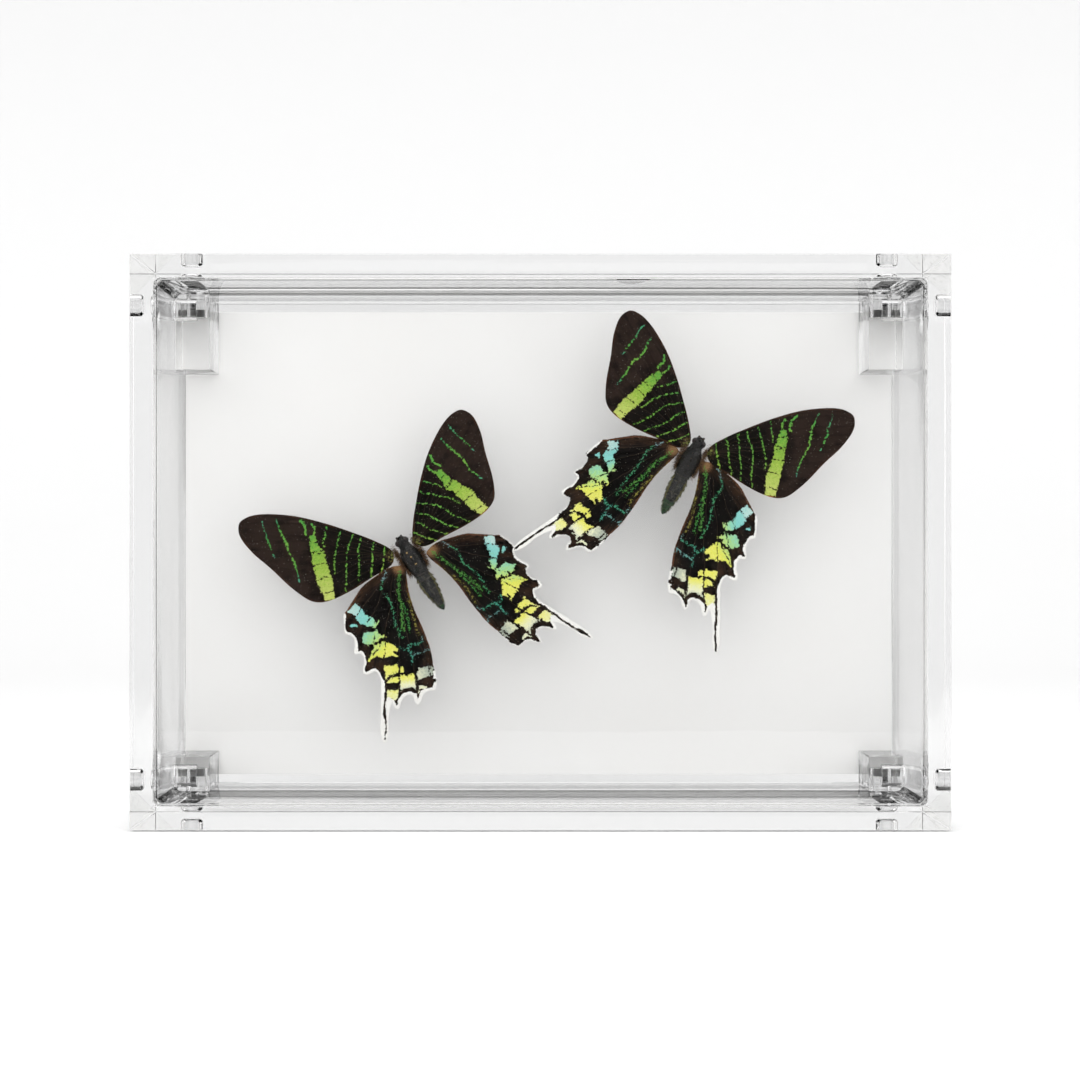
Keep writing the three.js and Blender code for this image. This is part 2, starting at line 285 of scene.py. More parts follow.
def finish_edges(piece, width, segments=2, limit="ANGLE"):
    """Rounds the sharp edges a little."""
    bpy.ops.object.select_all(action="DESELECT")
    bpy.context.view_layer.objects.active = piece
    piece.select_set(True)
    edges = piece.modifiers.new("edges", "BEVEL")
    edges.width = width
    edges.segments = segments
    edges.limit_method = limit
    edges.angle_limit = math.radians(30)
    bpy.ops.object.modifier_apply(modifier=edges.name)
    return piece


def level_outline(side):
    out = height if side > 0 else 0
    inside = out - side * WALL
    half = width / 2 - JOINT
    return [(-half, out), (half, out), (half - WALL, inside), (WALL - half, inside)]


def side_outline(side):
    out = side * width / 2
    inside = side * inner_x
    bead = inside - side * BEAD
    return [
        (out, JOINT), (inside, inner_low + JOINT), (bead, inner_low + JOINT),
        (inside, inner_low + BEAD), (inside, inner_high - BEAD), (bead, inner_high - JOINT),
        (inside, inner_high - JOINT), (out, height - JOINT),
    ]


def let_in_outline(short, cut):
    x = inner_x - JOINT
    low = inner_low + JOINT + short
    high = inner_high - JOINT - short
    if cut == 0:
        return [(-x, low), (x, low), (x, high), (-x, high)]
    return [
        (-x + cut, low), (x - cut, low), (x, low + cut), (x, high - cut),
        (x - cut, high), (-x + cut, high), (-x, high - cut), (-x, low + cut),
    ]


# Corner pins
# Short clear acrylic dowels with a rounded outer end. One goes up or down and one sideways
# from each corner block into a blind hole in the wall.
PIN_R = 3.1 * mm
PIN_SKIN = 1 * mm
PIN_IN_BLOCK = 5.6 * mm
PIN_LONG = WALL - PIN_SKIN + PIN_IN_BLOCK
PIN_ROUND = 1.1 * mm
PIN_PLAY = 0.06 * mm
UPRIGHT_INSET = 11.3 * mm
SIDE_INSET = 10.4 * mm
UPRIGHT_FROM_BOARD = 4 * mm
SIDE_FROM_BOARD = 11.5 * mm


def pin(name, corner_x, corner_z, upright, play=0):
    """A dowel in its place; with play it is the drill for its hole."""
    length = PIN_LONG + 2 * play
    if upright:
        middle = (corner_x * (width / 2 - UPRIGHT_INSET), block_back - UPRIGHT_FROM_BOARD,
                  (height if corner_z > 0 else 0) - corner_z * (PIN_SKIN + PIN_LONG / 2))
        turn = (0 if corner_z > 0 else math.pi, 0, 0)
    else:
        middle = (corner_x * (width / 2 - PIN_SKIN - PIN_LONG / 2), block_back - SIDE_FROM_BOARD,
                  (height if corner_z > 0 else 0) - corner_z * SIDE_INSET)
        turn = (0, corner_x * math.pi / 2, 0)
    bpy.ops.object.select_all(action="DESELECT")
    bpy.ops.mesh.primitive_cylinder_add(
        vertices=48, radius=PIN_R + play, depth=length, location=middle, rotation=turn
    )
    piece = bpy.context.object
    piece.name = name
    bpy.ops.object.mode_set(mode="EDIT")
    bpy.ops.mesh.select_mode(type="EDGE")
    bpy.ops.mesh.select_all(action="DESELECT")
    bpy.ops.object.mode_set(mode="OBJECT")
    for edge in piece.data.edges:
        edge.select = all(piece.data.vertices[v].co.z > 0 for v in edge.vertices)
    bpy.ops.object.mode_set(mode="EDIT")
    bpy.ops.mesh.bevel(offset=PIN_ROUND, segments=6, affect="EDGES")
    bpy.ops.object.mode_set(mode="OBJECT")
    bpy.ops.object.transform_apply(location=True, rotation=True, scale=True)
    bpy.ops.object.shade_smooth_by_angle(angle=math.radians(40))
    return piece


def drill(piece, drills):
    """Cuts blind holes in a piece with the drills."""
    for tool in drills:
        bpy.ops.object.select_all(action="DESELECT")
        bpy.context.view_layer.objects.active = piece
        piece.select_set(True)
        hole = piece.modifiers.new("hole", "BOOLEAN")
        hole.operation = "DIFFERENCE"
        hole.solver = "EXACT"
        hole.object = tool
        bpy.ops.object.modifier_apply(modifier=hole.name)
    bpy.ops.object.shade_smooth_by_angle(angle=math.radians(20))


CORNERS = {
    "top_left": (-1, 1), "top_right": (1, 1), "bottom_left": (-1, -1), "bottom_right": (1, -1),
}
walls = {
    "top_wall": level_outline(1), "bottom_wall": level_outline(-1),
    "left_wall": side_outline(-1), "right_wall": side_outline(1),
}
wall_pieces = {}
for name, outline in walls.items():
    wall = plate("acrylic_" + name, outline, box_low.y, box_high.y)
    rounding = wall.data.attributes.new("bevel_weight_edge", "FLOAT", "EDGE")
    for edge in wall.data.edges:
        start, end = (wall.data.vertices[v].co for v in edge.vertices)
        mitre = min(abs(end.x - start.x), abs(end.z - start.z)) > WALL / 2
        rounding.data[edge.index].value = MITRE_ROUND if mitre else 1
    wall_pieces[name] = finish_edges(wall, EDGE_ROUND, limit="WEIGHT")

BLOCK_WIDE = 9.65 * mm
BLOCK_TALL = {1: 21 * mm, -1: 9.75 * mm}
for name, (side_x, side_z) in CORNERS.items():
    out_x = side_x * (inner_x - JOINT)
    near_x = out_x - side_x * BLOCK_WIDE
    out_z = inner_high - JOINT if side_z > 0 else inner_low + JOINT
    near_z = out_z - side_z * BLOCK_TALL[side_z]
    cut = BEAD + JOINT
    outline = [
        (out_x - side_x * cut, out_z), (near_x, out_z), (near_x, near_z), (out_x, near_z),
        (out_x, out_z - side_z * cut),
    ]
    block = plate("acrylic_" + name + "_block", outline, block_front, block_back)
    finish_edges(block, EDGE_ROUND)
    upright_drill = pin("drill_up", side_x, side_z, True, PIN_PLAY)
    side_drill = pin("drill_side", side_x, side_z, False, PIN_PLAY)
    drill(block, [upright_drill, side_drill])
    drill(wall_pieces["top_wall" if side_z > 0 else "bottom_wall"], [upright_drill])
    drill(wall_pieces["right_wall" if side_x > 0 else "left_wall"], [side_drill])
    bpy.data.objects.remove(upright_drill)
    bpy.data.objects.remove(side_drill)
    upright_pin = pin("acrylic_" + name + "_upright_pin", side_x, side_z, True)
    side_pin = pin("acrylic_" + name + "_side_pin", side_x, side_z, False)
    for piece, solid in (
        (block, "_block"), (upright_pin, "_upright_pin"), (side_pin, "_side_pin"),
    ):
        piece.data.materials.append(acrylic)
        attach(piece, "root")
        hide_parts(name + solid)
for name, piece in wall_pieces.items():
    piece.data.materials.append(acrylic)
    piece.data.materials.append(cement)
    for face in piece.data.polygons:
        slanted = min(abs(face.normal.x), abs(face.normal.z)) > 0.6
        face.material_index = 1 if slanted and face.area > MITRE_AREA else 0
    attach(piece, "root")
    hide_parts(name)

for solid, y_front, y_back in (
    ("front_panel", box_low.y, box_low.y + WALL),
    ("back_panel", box_high.y - BACK_SHEET, box_high.y),
):
    piece = plate("acrylic_" + solid, let_in_outline(0, BEAD + JOINT), y_front, y_back)
    finish_edges(piece, EDGE_ROUND)
    piece.data.materials.append(acrylic)
    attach(piece, "root")
    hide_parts(solid)

# Backing board
# White paper-faced board in front of the back panel, a little shorter than the space.
BOARD_THICK = 1.5 * mm
BOARD_SHORT = 2.9 * mm
BOARD_ROUND = 0.1 * mm
board_back = board_front + BOARD_THICK
board = plate("white_backing_board", let_in_outline(BOARD_SHORT, 0), board_front, board_back)
finish_edges(board, BOARD_ROUND)
board_paper, tree, surface = new_material("smooth white paper on board")
surface.inputs["Roughness"].default_value = 0.85
surface.inputs["Specular IOR Level"].default_value = 0.2
place = node(tree, "ShaderNodeTexCoord", out="Object")
cloud = node(tree, "ShaderNodeTexNoise", {"Vector": place, "Scale": 35, "Detail": 4})
tint = node(
    tree, "ShaderNodeMixRGB", {"Fac": cloud, "Color1": "#f4f3f1", "Color2": "#f8f8f7"}
)
tree.links.new(surface.inputs["Base Color"], tint)
grain = node(tree, "ShaderNodeTexNoise", {"Vector": place, "Scale": 2500, "Detail": 2})
rise = node(tree, "ShaderNodeBump", {"Height": grain, "Strength": 0.15, "Distance": 0.0002})
tree.links.new(surface.inputs["Normal"], rise)
board.data.materials.append(board_paper)
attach(board, "root")
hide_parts("backing_board")

# Moths
# Two spread day-flying moths. A wing is one thin membrane stiffened by veins that run out from
# its hinge, with flat scales laid on it like tiles, so every mark ends in a ragged edge.
MOTHS = {
    "left_moth": {
        "at": (-35.5, 5.6, 71.5), "lean": -31.9,
        "wings": {
            "left_forewing": ((3.8, 3.6), (36.2, 32.7), (28.2, 3.0)),
            "right_forewing": ((3.1, 2.9), (34.3, 27.0), (26.9, 0.9)),
            "left_hindwing": ((4.0, -0.1), (33.5, -39.7), (13.1, -34.2)),
            "right_hindwing": ((4.9, -0.6), (30.9, -45.5), (11.6, -36.3)),
        },
    },
    "right_moth": {
        "at": (41.9, 4.0, 98.8), "lean": 27.2,
        "wings": {
            "left_forewing": ((2.5, 3.5), (34.5, 28.3), (26.4, 2.0)),
            "right_forewing": ((3.3, 4.2), (35.4, 30.3), (26.6, 1.5)),
            "left_hindwing": ((4.7, 1.1), (32.3, -45.0), (12.6, -35.2)),
            "right_hindwing": ((4.0, 1.4), (30.6, -44.6), (10.9, -35.0)),
        },
    },
}
WING_TILT = math.tan(math.radians(4))
MEMBRANE = 0.12                  # thickness that a dry wing shows, in millimetres
MEMBRANE_RISE = {"forewing": 1.1, "hindwing": 0.3}
POINT_SPACING = 0.21
ROW_SPACING = POINT_SPACING * 0.866   # rows of an even triangle grid
UV_SPAN = 50                     # millimetres that the wings' own map covers

# Body from the tail end to the forehead: distance along it and half its width.
BODY = (
    (-17.0, 0), (-16.6, 0.55), (-15.6, 0.9), (-14.2, 1.25), (-12.6, 1.55), (-11.0, 1.8),
    (-9.0, 2.05), (-7.0, 2.15), (-5.4, 2.0), (-4.4, 2.2), (-3.0, 2.65), (-1.0, 2.9),
    (1.0, 2.85), (2.6, 2.35), (3.6, 1.6), (4.3, 1.55), (5.2, 1.75), (6.2, 1.35), (6.9, 0.7),
    (7.1, 0),
)


def body_half_width(y):
    return np.interp(y, [p[0] for p in BODY], [p[1] for p in BODY])


def to_frame(moth, x, y, z):
    """Points in a moth's own millimetres, x across, y to the head, z to the viewer, in the frame."""
    lean = math.radians(moth["lean"])
    across, along = math.cos(lean), math.sin(lean)
    at = moth["at"]
    return np.stack([
        (at[0] + x * across + y * along) * mm,
        (at[1] - z) * mm,
        (at[2] - x * along + y * across) * mm,
    ], axis=-1)


def smooth_ring(corners, steps):
    """A closed curve through the corners, by the centripetal Catmull-Rom rule."""
    p = np.asarray(corners, float)
    p0, p1, p2, p3 = (np.roll(p, shift, axis=0) for shift in (1, 0, -1, -2))
    d0, d1, d2 = (
        np.linalg.norm(b - a, axis=1, keepdims=True) ** 0.5 for a, b in ((p0, p1), (p1, p2), (p2, p3))
    )
    m1 = d1 * ((p1 - p0) / d0 - (p2 - p0) / (d0 + d1) + (p2 - p1) / d1)
    m2 = d1 * ((p2 - p1) / d1 - (p3 - p1) / (d1 + d2) + (p3 - p2) / d2)
    ring = []
    for t in np.arange(steps) / steps:
        ring.append(
            p1 + m1 * t + (3 * (p2 - p1) - 2 * m1 - m2) * t ** 2 + (2 * (p1 - p2) + m1 + m2) * t ** 3
        )
    return np.stack(ring, axis=1).reshape(-1, 2)


def even_ring(ring, spacing):
    """The same closed curve with its points evenly spaced."""
    closed = np.vstack([ring, ring[:1]])
    run = np.concatenate([[0], np.cumsum(np.linalg.norm(np.diff(closed, axis=0), axis=1))])
    at = np.linspace(0, run[-1], int(run[-1] / spacing), endpoint=False)
    return np.stack([np.interp(at, run, closed[:, axis]) for axis in (0, 1)], axis=1)


def line_reach(points, line):
    """Distance of each point to an open line, and how far along the line its nearest place is."""
    line = np.asarray(line, float)
    lengths = np.linalg.norm(np.diff(line, axis=0), axis=1)
    total = lengths.sum()
    nearest = np.full(len(points), 1e9)
    along = np.zeros(len(points))
    done = 0
    for start, end, length in zip(line[:-1], line[1:], lengths):
        step = end - start
        t = np.clip(((points - start) @ step) / (step @ step), 0, 1)
        away = np.linalg.norm(points - start - t[:, None] * step, axis=1)
        closer = away < nearest
        nearest[closer] = away[closer]
        along[closer] = (done + t[closer] * length) / total
        done += length
    return nearest, along


def ring_reach(points, ring):
    """Distance of each point to a closed outline, positive inside it."""
    ring = np.asarray(ring, float)
    away, _ = line_reach(points, np.vstack([ring, ring[:1]]))
    inside = np.zeros(len(points), bool)
    x, y = points[:, 0], points[:, 1]
    for (x0, y0), (x1, y1) in zip(ring, np.roll(ring, -1, axis=0)):
        if y0 == y1:
            continue
        crosses = (y0 > y) != (y1 > y)
        inside ^= crosses & (x < x0 + (y - y0) * (x1 - x0) / (y1 - y0))
    return np.where(inside, away, -away)


def wing_sheet(corners, fray):
    """Evenly spread points inside a wing's outline, joined up as triangles."""
    ring = even_ring(smooth_ring(corners, 8), POINT_SPACING)
    ring += np.random.default_rng(5).normal(scale=fray, size=ring.shape)
    low, high = ring.min(axis=0), ring.max(axis=0)
    rows = np.arange(low[1], high[1], ROW_SPACING)
    grid = [
        (x + (row % 2) * POINT_SPACING / 2, y)
        for row, y in enumerate(rows) for x in np.arange(low[0], high[0], POINT_SPACING)
    ]
    grid = np.array(grid)
    grid = grid[ring_reach(grid, ring) > 0.6 * POINT_SPACING]
    points = np.vstack([ring, grid])
    count = len(ring)
    edges = [(i, (i + 1) % count) for i in range(count)]
    made = delaunay_2d_cdt([Vector(p) for p in points], edges, [], 1, 1e-7)
    corners_made = np.array([(v.x, v.y) for v in made[0]])
    faces = np.array(made[2])
    a, b, c = (corners_made[faces[:, i]] for i in range(3))
    turn = (b[:, 0] - a[:, 0]) * (c[:, 1] - a[:, 1]) - (b[:, 1] - a[:, 1]) * (c[:, 0] - a[:, 0])
    faces[turn < 0] = faces[turn < 0][:, ::-1]
    return corners_made, faces


FOREWING_MARKS = ((3.3, 4.2), (35.4, 30.3), (26.6, 1.5))
FOREWING_OUTLINE = (
    (3.2, 4.3), (3.3, 5.8), (5.8, 9.8), (8.9, 13.6), (15.0, 20.4), (21.5, 26.3), (28.6, 30.6),
    (32.0, 31.5), (34.6, 31.0), (36.1, 28.1), (35.6, 22.7), (33.3, 15.9), (30.6, 7.4),
    (28.0, 2.6), (25.0, 0.9), (18.9, 0.4), (11.5, 1.1), (4.7, 2.0),
)
HINDWING_MARKS = ((4.0, -0.1), (33.5, -39.7), (13.1, -34.2))
HINDWING_OUTLINE = (
    (3.2, -0.7), (5.5, 0.7), (7.8, 1.2), (11.7, 1.0), (15.8, 0.5), (18.5, -0.6), (22.3, -2.5),
    (24.5, -3.6), (25.4, -5.3), (26.3, -7.0), (26.7, -8.4),
    (25.7, -9.2), (25.5, -10.5), (26.2, -12.3), (27.4, -13.7), (27.3, -14.5),
    (26.2, -15.0), (25.9, -16.3), (26.5, -17.8), (27.9, -19.2), (28.2, -20.3), (27.5, -21.1),
    (26.4, -21.2), (25.3, -21.4), (24.9, -22.6), (25.3, -24.5), (26.8, -27.0), (30.3, -32.4),
    (33.2, -37.3), (33.5, -39.8), (31.4, -38.4), (29.3, -34.9), (27.2, -32.4), (25.8, -31.4),
    (26.0, -32.8), (25.7, -33.6), (24.7, -33.4), (23.3, -32.2), (21.7, -31.7), (20.5, -31.9),
    (20.0, -32.9), (20.4, -34.4), (20.1, -35.5), (19.0, -35.3), (17.2, -33.8), (15.4, -33.9),
    (14.1, -34.6), (13.0, -33.9), (12.1, -32.4), (11.2, -30.3), (10.7, -28.4), (9.7, -26.4),
    (8.9, -23.9), (8.1, -20.2), (7.5, -16.5), (7.0, -12.6), (6.1, -9.0), (5.0, -5.9),
    (3.8, -3.3),
)

# Veins, which run from the hinge to the margin.
FOREWING_VEINS = (
    ((3.2, 4.8), (6.9, 11.3), (12.8, 18.5), (19.3, 24.4), (26.4, 29.2), (31.9, 31.0)),
    ((3.6, 4.7), (8.1, 10.8), (14.4, 17.9), (22.4, 24.6), (29.8, 29.0), (34.8, 30.3)),
    ((3.9, 4.7), (10.1, 11.2), (18.3, 17.7), (27.4, 24.2), (36.0, 28.7)),
    ((4.0, 4.5), (11.9, 10.9), (19.9, 17.0), (28.4, 22.2), (36.0, 26.1)),
    ((4.1, 4.4), (13.6, 10.7), (21.5, 14.8), (28.6, 18.8), (35.5, 23.3)),
    ((4.1, 4.3), (14.5, 10.2), (22.7, 14.8), (29.4, 17.3), (34.9, 20.1)),
    ((4.1, 4.2), (9.3, 6.7), (14.9, 8.2), (20.2, 10.3), (26.0, 11.4), (33.6, 16.6)),
    ((4.2, 4.2), (10.2, 6.1), (17.6, 6.7), (24.7, 7.1), (30.2, 9.4), (32.1, 13.2)),
    ((4.5, 4.2), (11.0, 5.3), (18.6, 4.7), (25.3, 3.2), (29.3, 5.1)),
    ((4.7, 3.8), (12.0, 3.2), (20.2, 1.7), (25.4, 1.5)),
)
HINDWING_VEINS = (
    ((8.2, 0.6), (14.2, -0.6), (20.3, -2.5), (24.4, -4.8)),
    ((7.7, 0.2), (12.5, -2.1), (18.4, -4.0), (25.3, -7.6)),
    ((7.3, -0.4), (11.9, -3.6), (18.2, -7.9), (25.7, -13.4)),
    ((7.1, -1.3), (11.2, -6.6), (17.3, -14.1), (22.2, -21.6), (25.7, -27.7), (32.7, -38.4)),
    ((6.5, -1.6), (11.2, -10.4), (14.8, -17.2), (20.9, -26.9), (24.9, -32.5)),
    ((6.2, -2.2), (10.5, -12.7), (15.2, -25.2), (19.4, -34.3)),
    ((5.7, -3.3), (9.5, -16.0), (11.8, -27.7), (13.7, -33.8)),
    ((5.2, -3.6), (8.2, -15.2), (10.1, -26.1)),
)

# Forewing marks: half width, tone at the start and at the end, and the line. Tone runs from
# blue-green at 0 through green at 0.4 to yellow-green at 1.
FOREWING_LINES = (
    (0.1, 0.4, 0.62, ((4.5, 7.2), (5.8, 5.2), (7.0, 3.2), (8.5, 1.3))),
    (0.1, 0.38, 0.5, ((6.3, 9.7), (7.5, 8.2), (8.9, 5.5), (10.5, 3.1), (11.9, 1.1))),
    (0.1, 0.36, 0.42, ((8.5, 11.9), (10.3, 9.7), (11.7, 6.9), (13.4, 3.9), (15.2, 1.0))),
    (0.1, 0.36, 0.45, ((10.2, 14.1), (12.7, 11.9), (14.2, 10.1), (15.4, 7.5), (17.0, 3.9),
                       (18.8, 1.0))),
    (0.11, 0.3, 0.5, ((12.6, 16.6), (14.4, 14.7), (16.0, 12.6), (17.6, 10.6), (19.5, 7.1))),
    (0.1, 0.25, 0.5, ((14.9, 19.1), (16.4, 17.0), (17.6, 15.8), (18.2, 14.4))),
    (0.22, 0.3, 0.5, ((18.1, 22.0), (18.0, 20.6), (19.1, 18.7))),
    (0.26, 0.3, 0.42, ((20.5, 24.2), (20.2, 23.0), (20.0, 22.2), (20.7, 20.5), (20.9, 19.9))),
    (0.1, 0.1, 0.3, ((25.7, 27.3), (25.9, 26.2), (26.1, 24.4), (26.0, 23.3))),
    (0.2, 0.35, 0.45, ((25.9, 23.5), (26.3, 21.5), (26.7, 19.4), (27.2, 18.2), (27.1, 16.7))),
    (0.15, 0.4, 0.3, ((27.2, 16.1), (27.3, 14.8), (27.5, 13.4), (27.8, 12.0))),
    (0.1, 0.2, 0.0, ((27.8, 11.8), (27.9, 10.5), (28.2, 9.3))),
    (0.1, 0.05, 0.3, ((29.3, 28.9), (29.7, 27.3), (29.9, 24.9), (30.4, 23.5), (30.4, 21.6),
                      (30.6, 20.0))),
    (0.05, 0.1, 0.0, ((30.6, 19.0), (30.8, 18.0))),
)
BAND = (
    (18.8, 18.9), (20.2, 19.3), (21.3, 16.9), (21.8, 14.6), (23.0, 11.4), (24.3, 7.3), (24.8, 4.1),
    (25.2, 1.4), (22.4, 0.5), (21.8, 2.8), (20.9, 5.9), (20.2, 8.7), (19.7, 10.1), (19.8, 11.1),
    (18.9, 13.2), (19.2, 15.3), (18.8, 17.6),
)
BAND_TONES = ((19.5, 19.0), 0.42, (24.0, 1.0), 1.0)
BAND_CUTS = (
    ((18.7, 16.3), (21.0, 17.8)), ((18.7, 13.5), (21.9, 14.8)), ((19.0, 12.9), (21.9, 14.4)),
    ((19.4, 10.1), (23.3, 11.2)), ((20.5, 6.9), (24.7, 7.1)), ((21.5, 2.9), (25.3, 3.1)),
)

# Hindwing patches: outline, and tone between two places. Tone runs from pale blue at 0
# through turquoise at 0.2, green at 0.4 and yellow at 0.6 to cream at 0.8 and grey-green at 1.
HINDWING_PATCHES = (
    (((20.2, -2.3), (19.3, -4.3), (21.6, -5.7), (22.3, -4.2), (22.7, -3.2), (21.5, -2.7)),
     (22.5, -3.5), 0.0, (19.5, -4.3), 0.1),
    (((19.3, -4.5), (19.0, -5.7), (19.5, -6.2), (18.5, -8.0), (20.4, -9.3), (21.3, -8.3),
      (21.8, -7.1), (22.1, -5.8), (21.4, -5.6)), (21.5, -5.0), 0.14, (19.0, -8.5), 0.24),
    (((18.5, -8.1), (17.9, -8.8), (18.0, -10.7), (16.9, -10.1), (17.0, -10.6), (18.6, -11.5),
      (19.2, -10.8), (20.4, -9.3)), (19.6, -8.8), 0.22, (17.8, -11.0), 0.42),
    (((23.6, -6.7), (22.9, -7.4), (22.6, -8.3), (23.6, -7.9), (24.4, -7.5)),
     (23.6, -6.7), 0.18, (22.6, -8.3), 0.22),
    (((22.2, -10.7), (21.2, -10.9), (19.8, -11.8), (18.5, -11.8), (18.7, -12.9), (17.5, -14.4),
      (17.7, -14.9), (19.5, -13.9), (19.6, -14.7), (18.4, -15.8), (17.5, -17.4), (16.8, -19.3),
      (17.4, -20.1), (18.3, -19.2), (18.5, -20.2), (17.9, -21.4), (19.6, -20.2), (21.1, -19.5),
      (22.8, -18.3), (23.9, -18.1), (25.1, -18.1), (24.1, -17.0), (22.0, -15.0), (20.0, -15.6),
      (20.8, -14.7), (22.7, -14.2), (24.2, -12.4), (23.3, -11.6)),
     (22.5, -11.5), 0.3, (20.0, -18.5), 0.62),
    (((22.1, -21.7), (20.8, -22.8), (19.0, -23.1), (19.0, -23.6), (19.9, -24.9), (21.0, -24.5),
      (22.5, -24.5), (23.9, -25.0), (23.1, -23.3)), (23.5, -24.5), 0.68, (19.5, -23.5), 0.6),
    (((18.5, -23.9), (18.0, -24.4), (18.0, -25.3), (18.7, -25.6), (19.3, -25.1)),
     (18.5, -23.9), 0.6, (18.5, -25.4), 0.62),
    (((22.3, -25.0), (20.5, -25.8), (21.7, -27.9), (22.6, -26.7), (23.5, -26.1), (24.6, -26.1),
      (23.8, -25.2)), (24.0, -25.5), 0.7, (21.0, -26.5), 0.6),
    (((25.2, -27.5), (22.6, -28.9), (23.9, -30.7), (25.2, -31.4), (25.4, -30.4), (26.4, -31.1),
      (28.4, -33.2), (26.7, -30.1)), (23.5, -29.0), 0.7, (27.0, -32.0), 0.85),
    (((19.7, -25.8), (18.1, -26.9), (16.1, -27.4), (17.1, -29.3), (18.3, -31.9), (18.9, -31.1),
      (19.9, -30.4), (21.3, -30.1), (22.4, -30.0), (21.4, -28.1)),
     (18.5, -27.0), 0.62, (20.0, -30.2), 0.9),
    (((14.5, -26.7), (12.0, -27.9), (13.0, -30.2), (14.3, -29.8), (16.2, -29.8), (15.9, -28.3)),
     (15.5, -28.5), 0.88, (12.5, -28.8), 1.0),
    (((11.8, -28.3), (11.1, -28.6), (11.6, -30.1), (12.5, -30.7), (12.6, -30.0)),
     (11.8, -28.3), 1.0, (12.2, -30.4), 1.0),
    (((17.1, -31.3), (15.6, -32.2), (15.2, -33.0), (17.4, -32.3), (18.3, -33.0)),
     (17.0, -31.5), 0.85, (16.0, -33.0), 0.85),
)
# Dark strokes across the hindwing's pale parts: half width and line.
HINDWING_STROKES = (
    (0.3, ((22.5, -21.4), (23.8, -24.4), (25.7, -27.7), (29.2, -33.1), (32.9, -38.8))),
    (0.2, ((14.8, -17.2), (17.9, -22.4), (20.9, -26.9), (23.0, -30.1), (24.9, -32.5))),
    (0.22, ((15.2, -25.2), (16.0, -27.4), (18.2, -31.6), (19.4, -34.3))),
    (0.2, ((11.8, -27.7), (12.8, -30.1), (13.5, -32.5), (13.7, -33.8))),
    (0.1, ((19.2, -4.2), (22.2, -5.8))), (0.12, ((18.4, -8.0), (20.7, -9.4))),
    (0.08, ((18.8, -11.9), (21.8, -14.3))), (0.1, ((17.6, -14.3), (19.2, -16.7), (21.1, -19.6))),
    (0.07, ((20.2, -15.7), (24.4, -17.8))), (0.28, ((17.5, -15.2), (19.8, -15.0), (22.4, -14.6))),
    (0.28, ((22.9, -30.4), (21.6, -30.0), (19.9, -30.4), (18.9, -31.2), (18.7, -32.4))),
    (0.85, ((24.5, -26.5), (23.4, -27.1), (22.2, -27.9))),
    (0.3, ((24.0, -25.4), (22.6, -24.9), (21.2, -24.8), (20.3, -25.7))),
    (0.6, ((16.4, -30.1), (14.9, -30.8), (13.6, -32.2), (12.6, -32.1))),
)
# Broken metallic streaks of the hindwing: half width, tone (0 pale blue, 0.25 turquoise,
# 0.5 green, 1 gold) and line.
HINDWING_STREAKS = (
    (0.34, 0.52, ((4.9, -1.3), (6.5, -3.9), (8.2, -6.6), (9.4, -9.6), (10.9, -12.5), (12.3, -15.7))),
    (0.16, 0.48, ((8.8, -9.3), (9.7, -12.4), (10.5, -15.3), (11.1, -16.9))),
    (0.12, 0.9, ((6.9, -8.9), (7.7, -11.4), (8.5, -14.4), (9.0, -16.7), (9.2, -18.6))),
    (0.1, 0.36, ((10.3, -1.5), (11.4, -2.9), (11.5, -4.7), (11.4, -6.5), (12.0, -8.0), (12.5, -9.9),
                  (13.4, -11.7), (13.2, -12.9), (13.8, -14.2))),
    (0.16, 0.0, ((8.3, 0.5), (9.9, -1.0))), (0.18, 0.4, ((13.4, -15.0), (14.0, -16.6), (13.6, -17.1))),
    (0.1, 0.95, ((4.1, -4.3), (5.7, -7.4), (6.8, -10.5))),
    (0.16, 0.3, ((16.3, -19.1), (15.3, -20.5), (13.9, -20.7))),
    (0.17, 0.25, ((13.6, -20.2), (14.3, -21.4), (14.6, -23.3), (15.2, -24.8))),
    (0.17, 0.1, ((14.6, -23.3), (13.2, -23.2), (12.1, -23.8))),
    (0.14, 0.05, ((10.9, -24.0), (9.7, -23.9), (9.4, -25.0))),
    (0.15, 0.05, ((9.0, -20.0), (9.4, -20.9))),
    (0.17, 0.3, ((13.0, -20.2), (11.1, -21.0), (9.6, -21.0))),
)
COSTA = HINDWING_OUTLINE[1:8]
SCALLOPS = HINDWING_OUTLINE[7:50]
INNER_EDGE = HINDWING_OUTLINE[50:]
FRINGE_WIDE = {
    "left_moth_left_hindwing": 0.75, "right_moth_right_hindwing": 0.75,
    "left_moth_right_hindwing": 0.45, "right_moth_left_hindwing": 0.35,
}


def fade(value, near, far):
    """1 where the value is at near, falling smoothly to 0 at far."""
    t = np.clip((value - near) / (far - near), 0, 1)
    return 1 - t * t * (3 - 2 * t)


def nearest_line(points, lines):
    return np.min([line_reach(points, line)[0] for line in lines], axis=0)


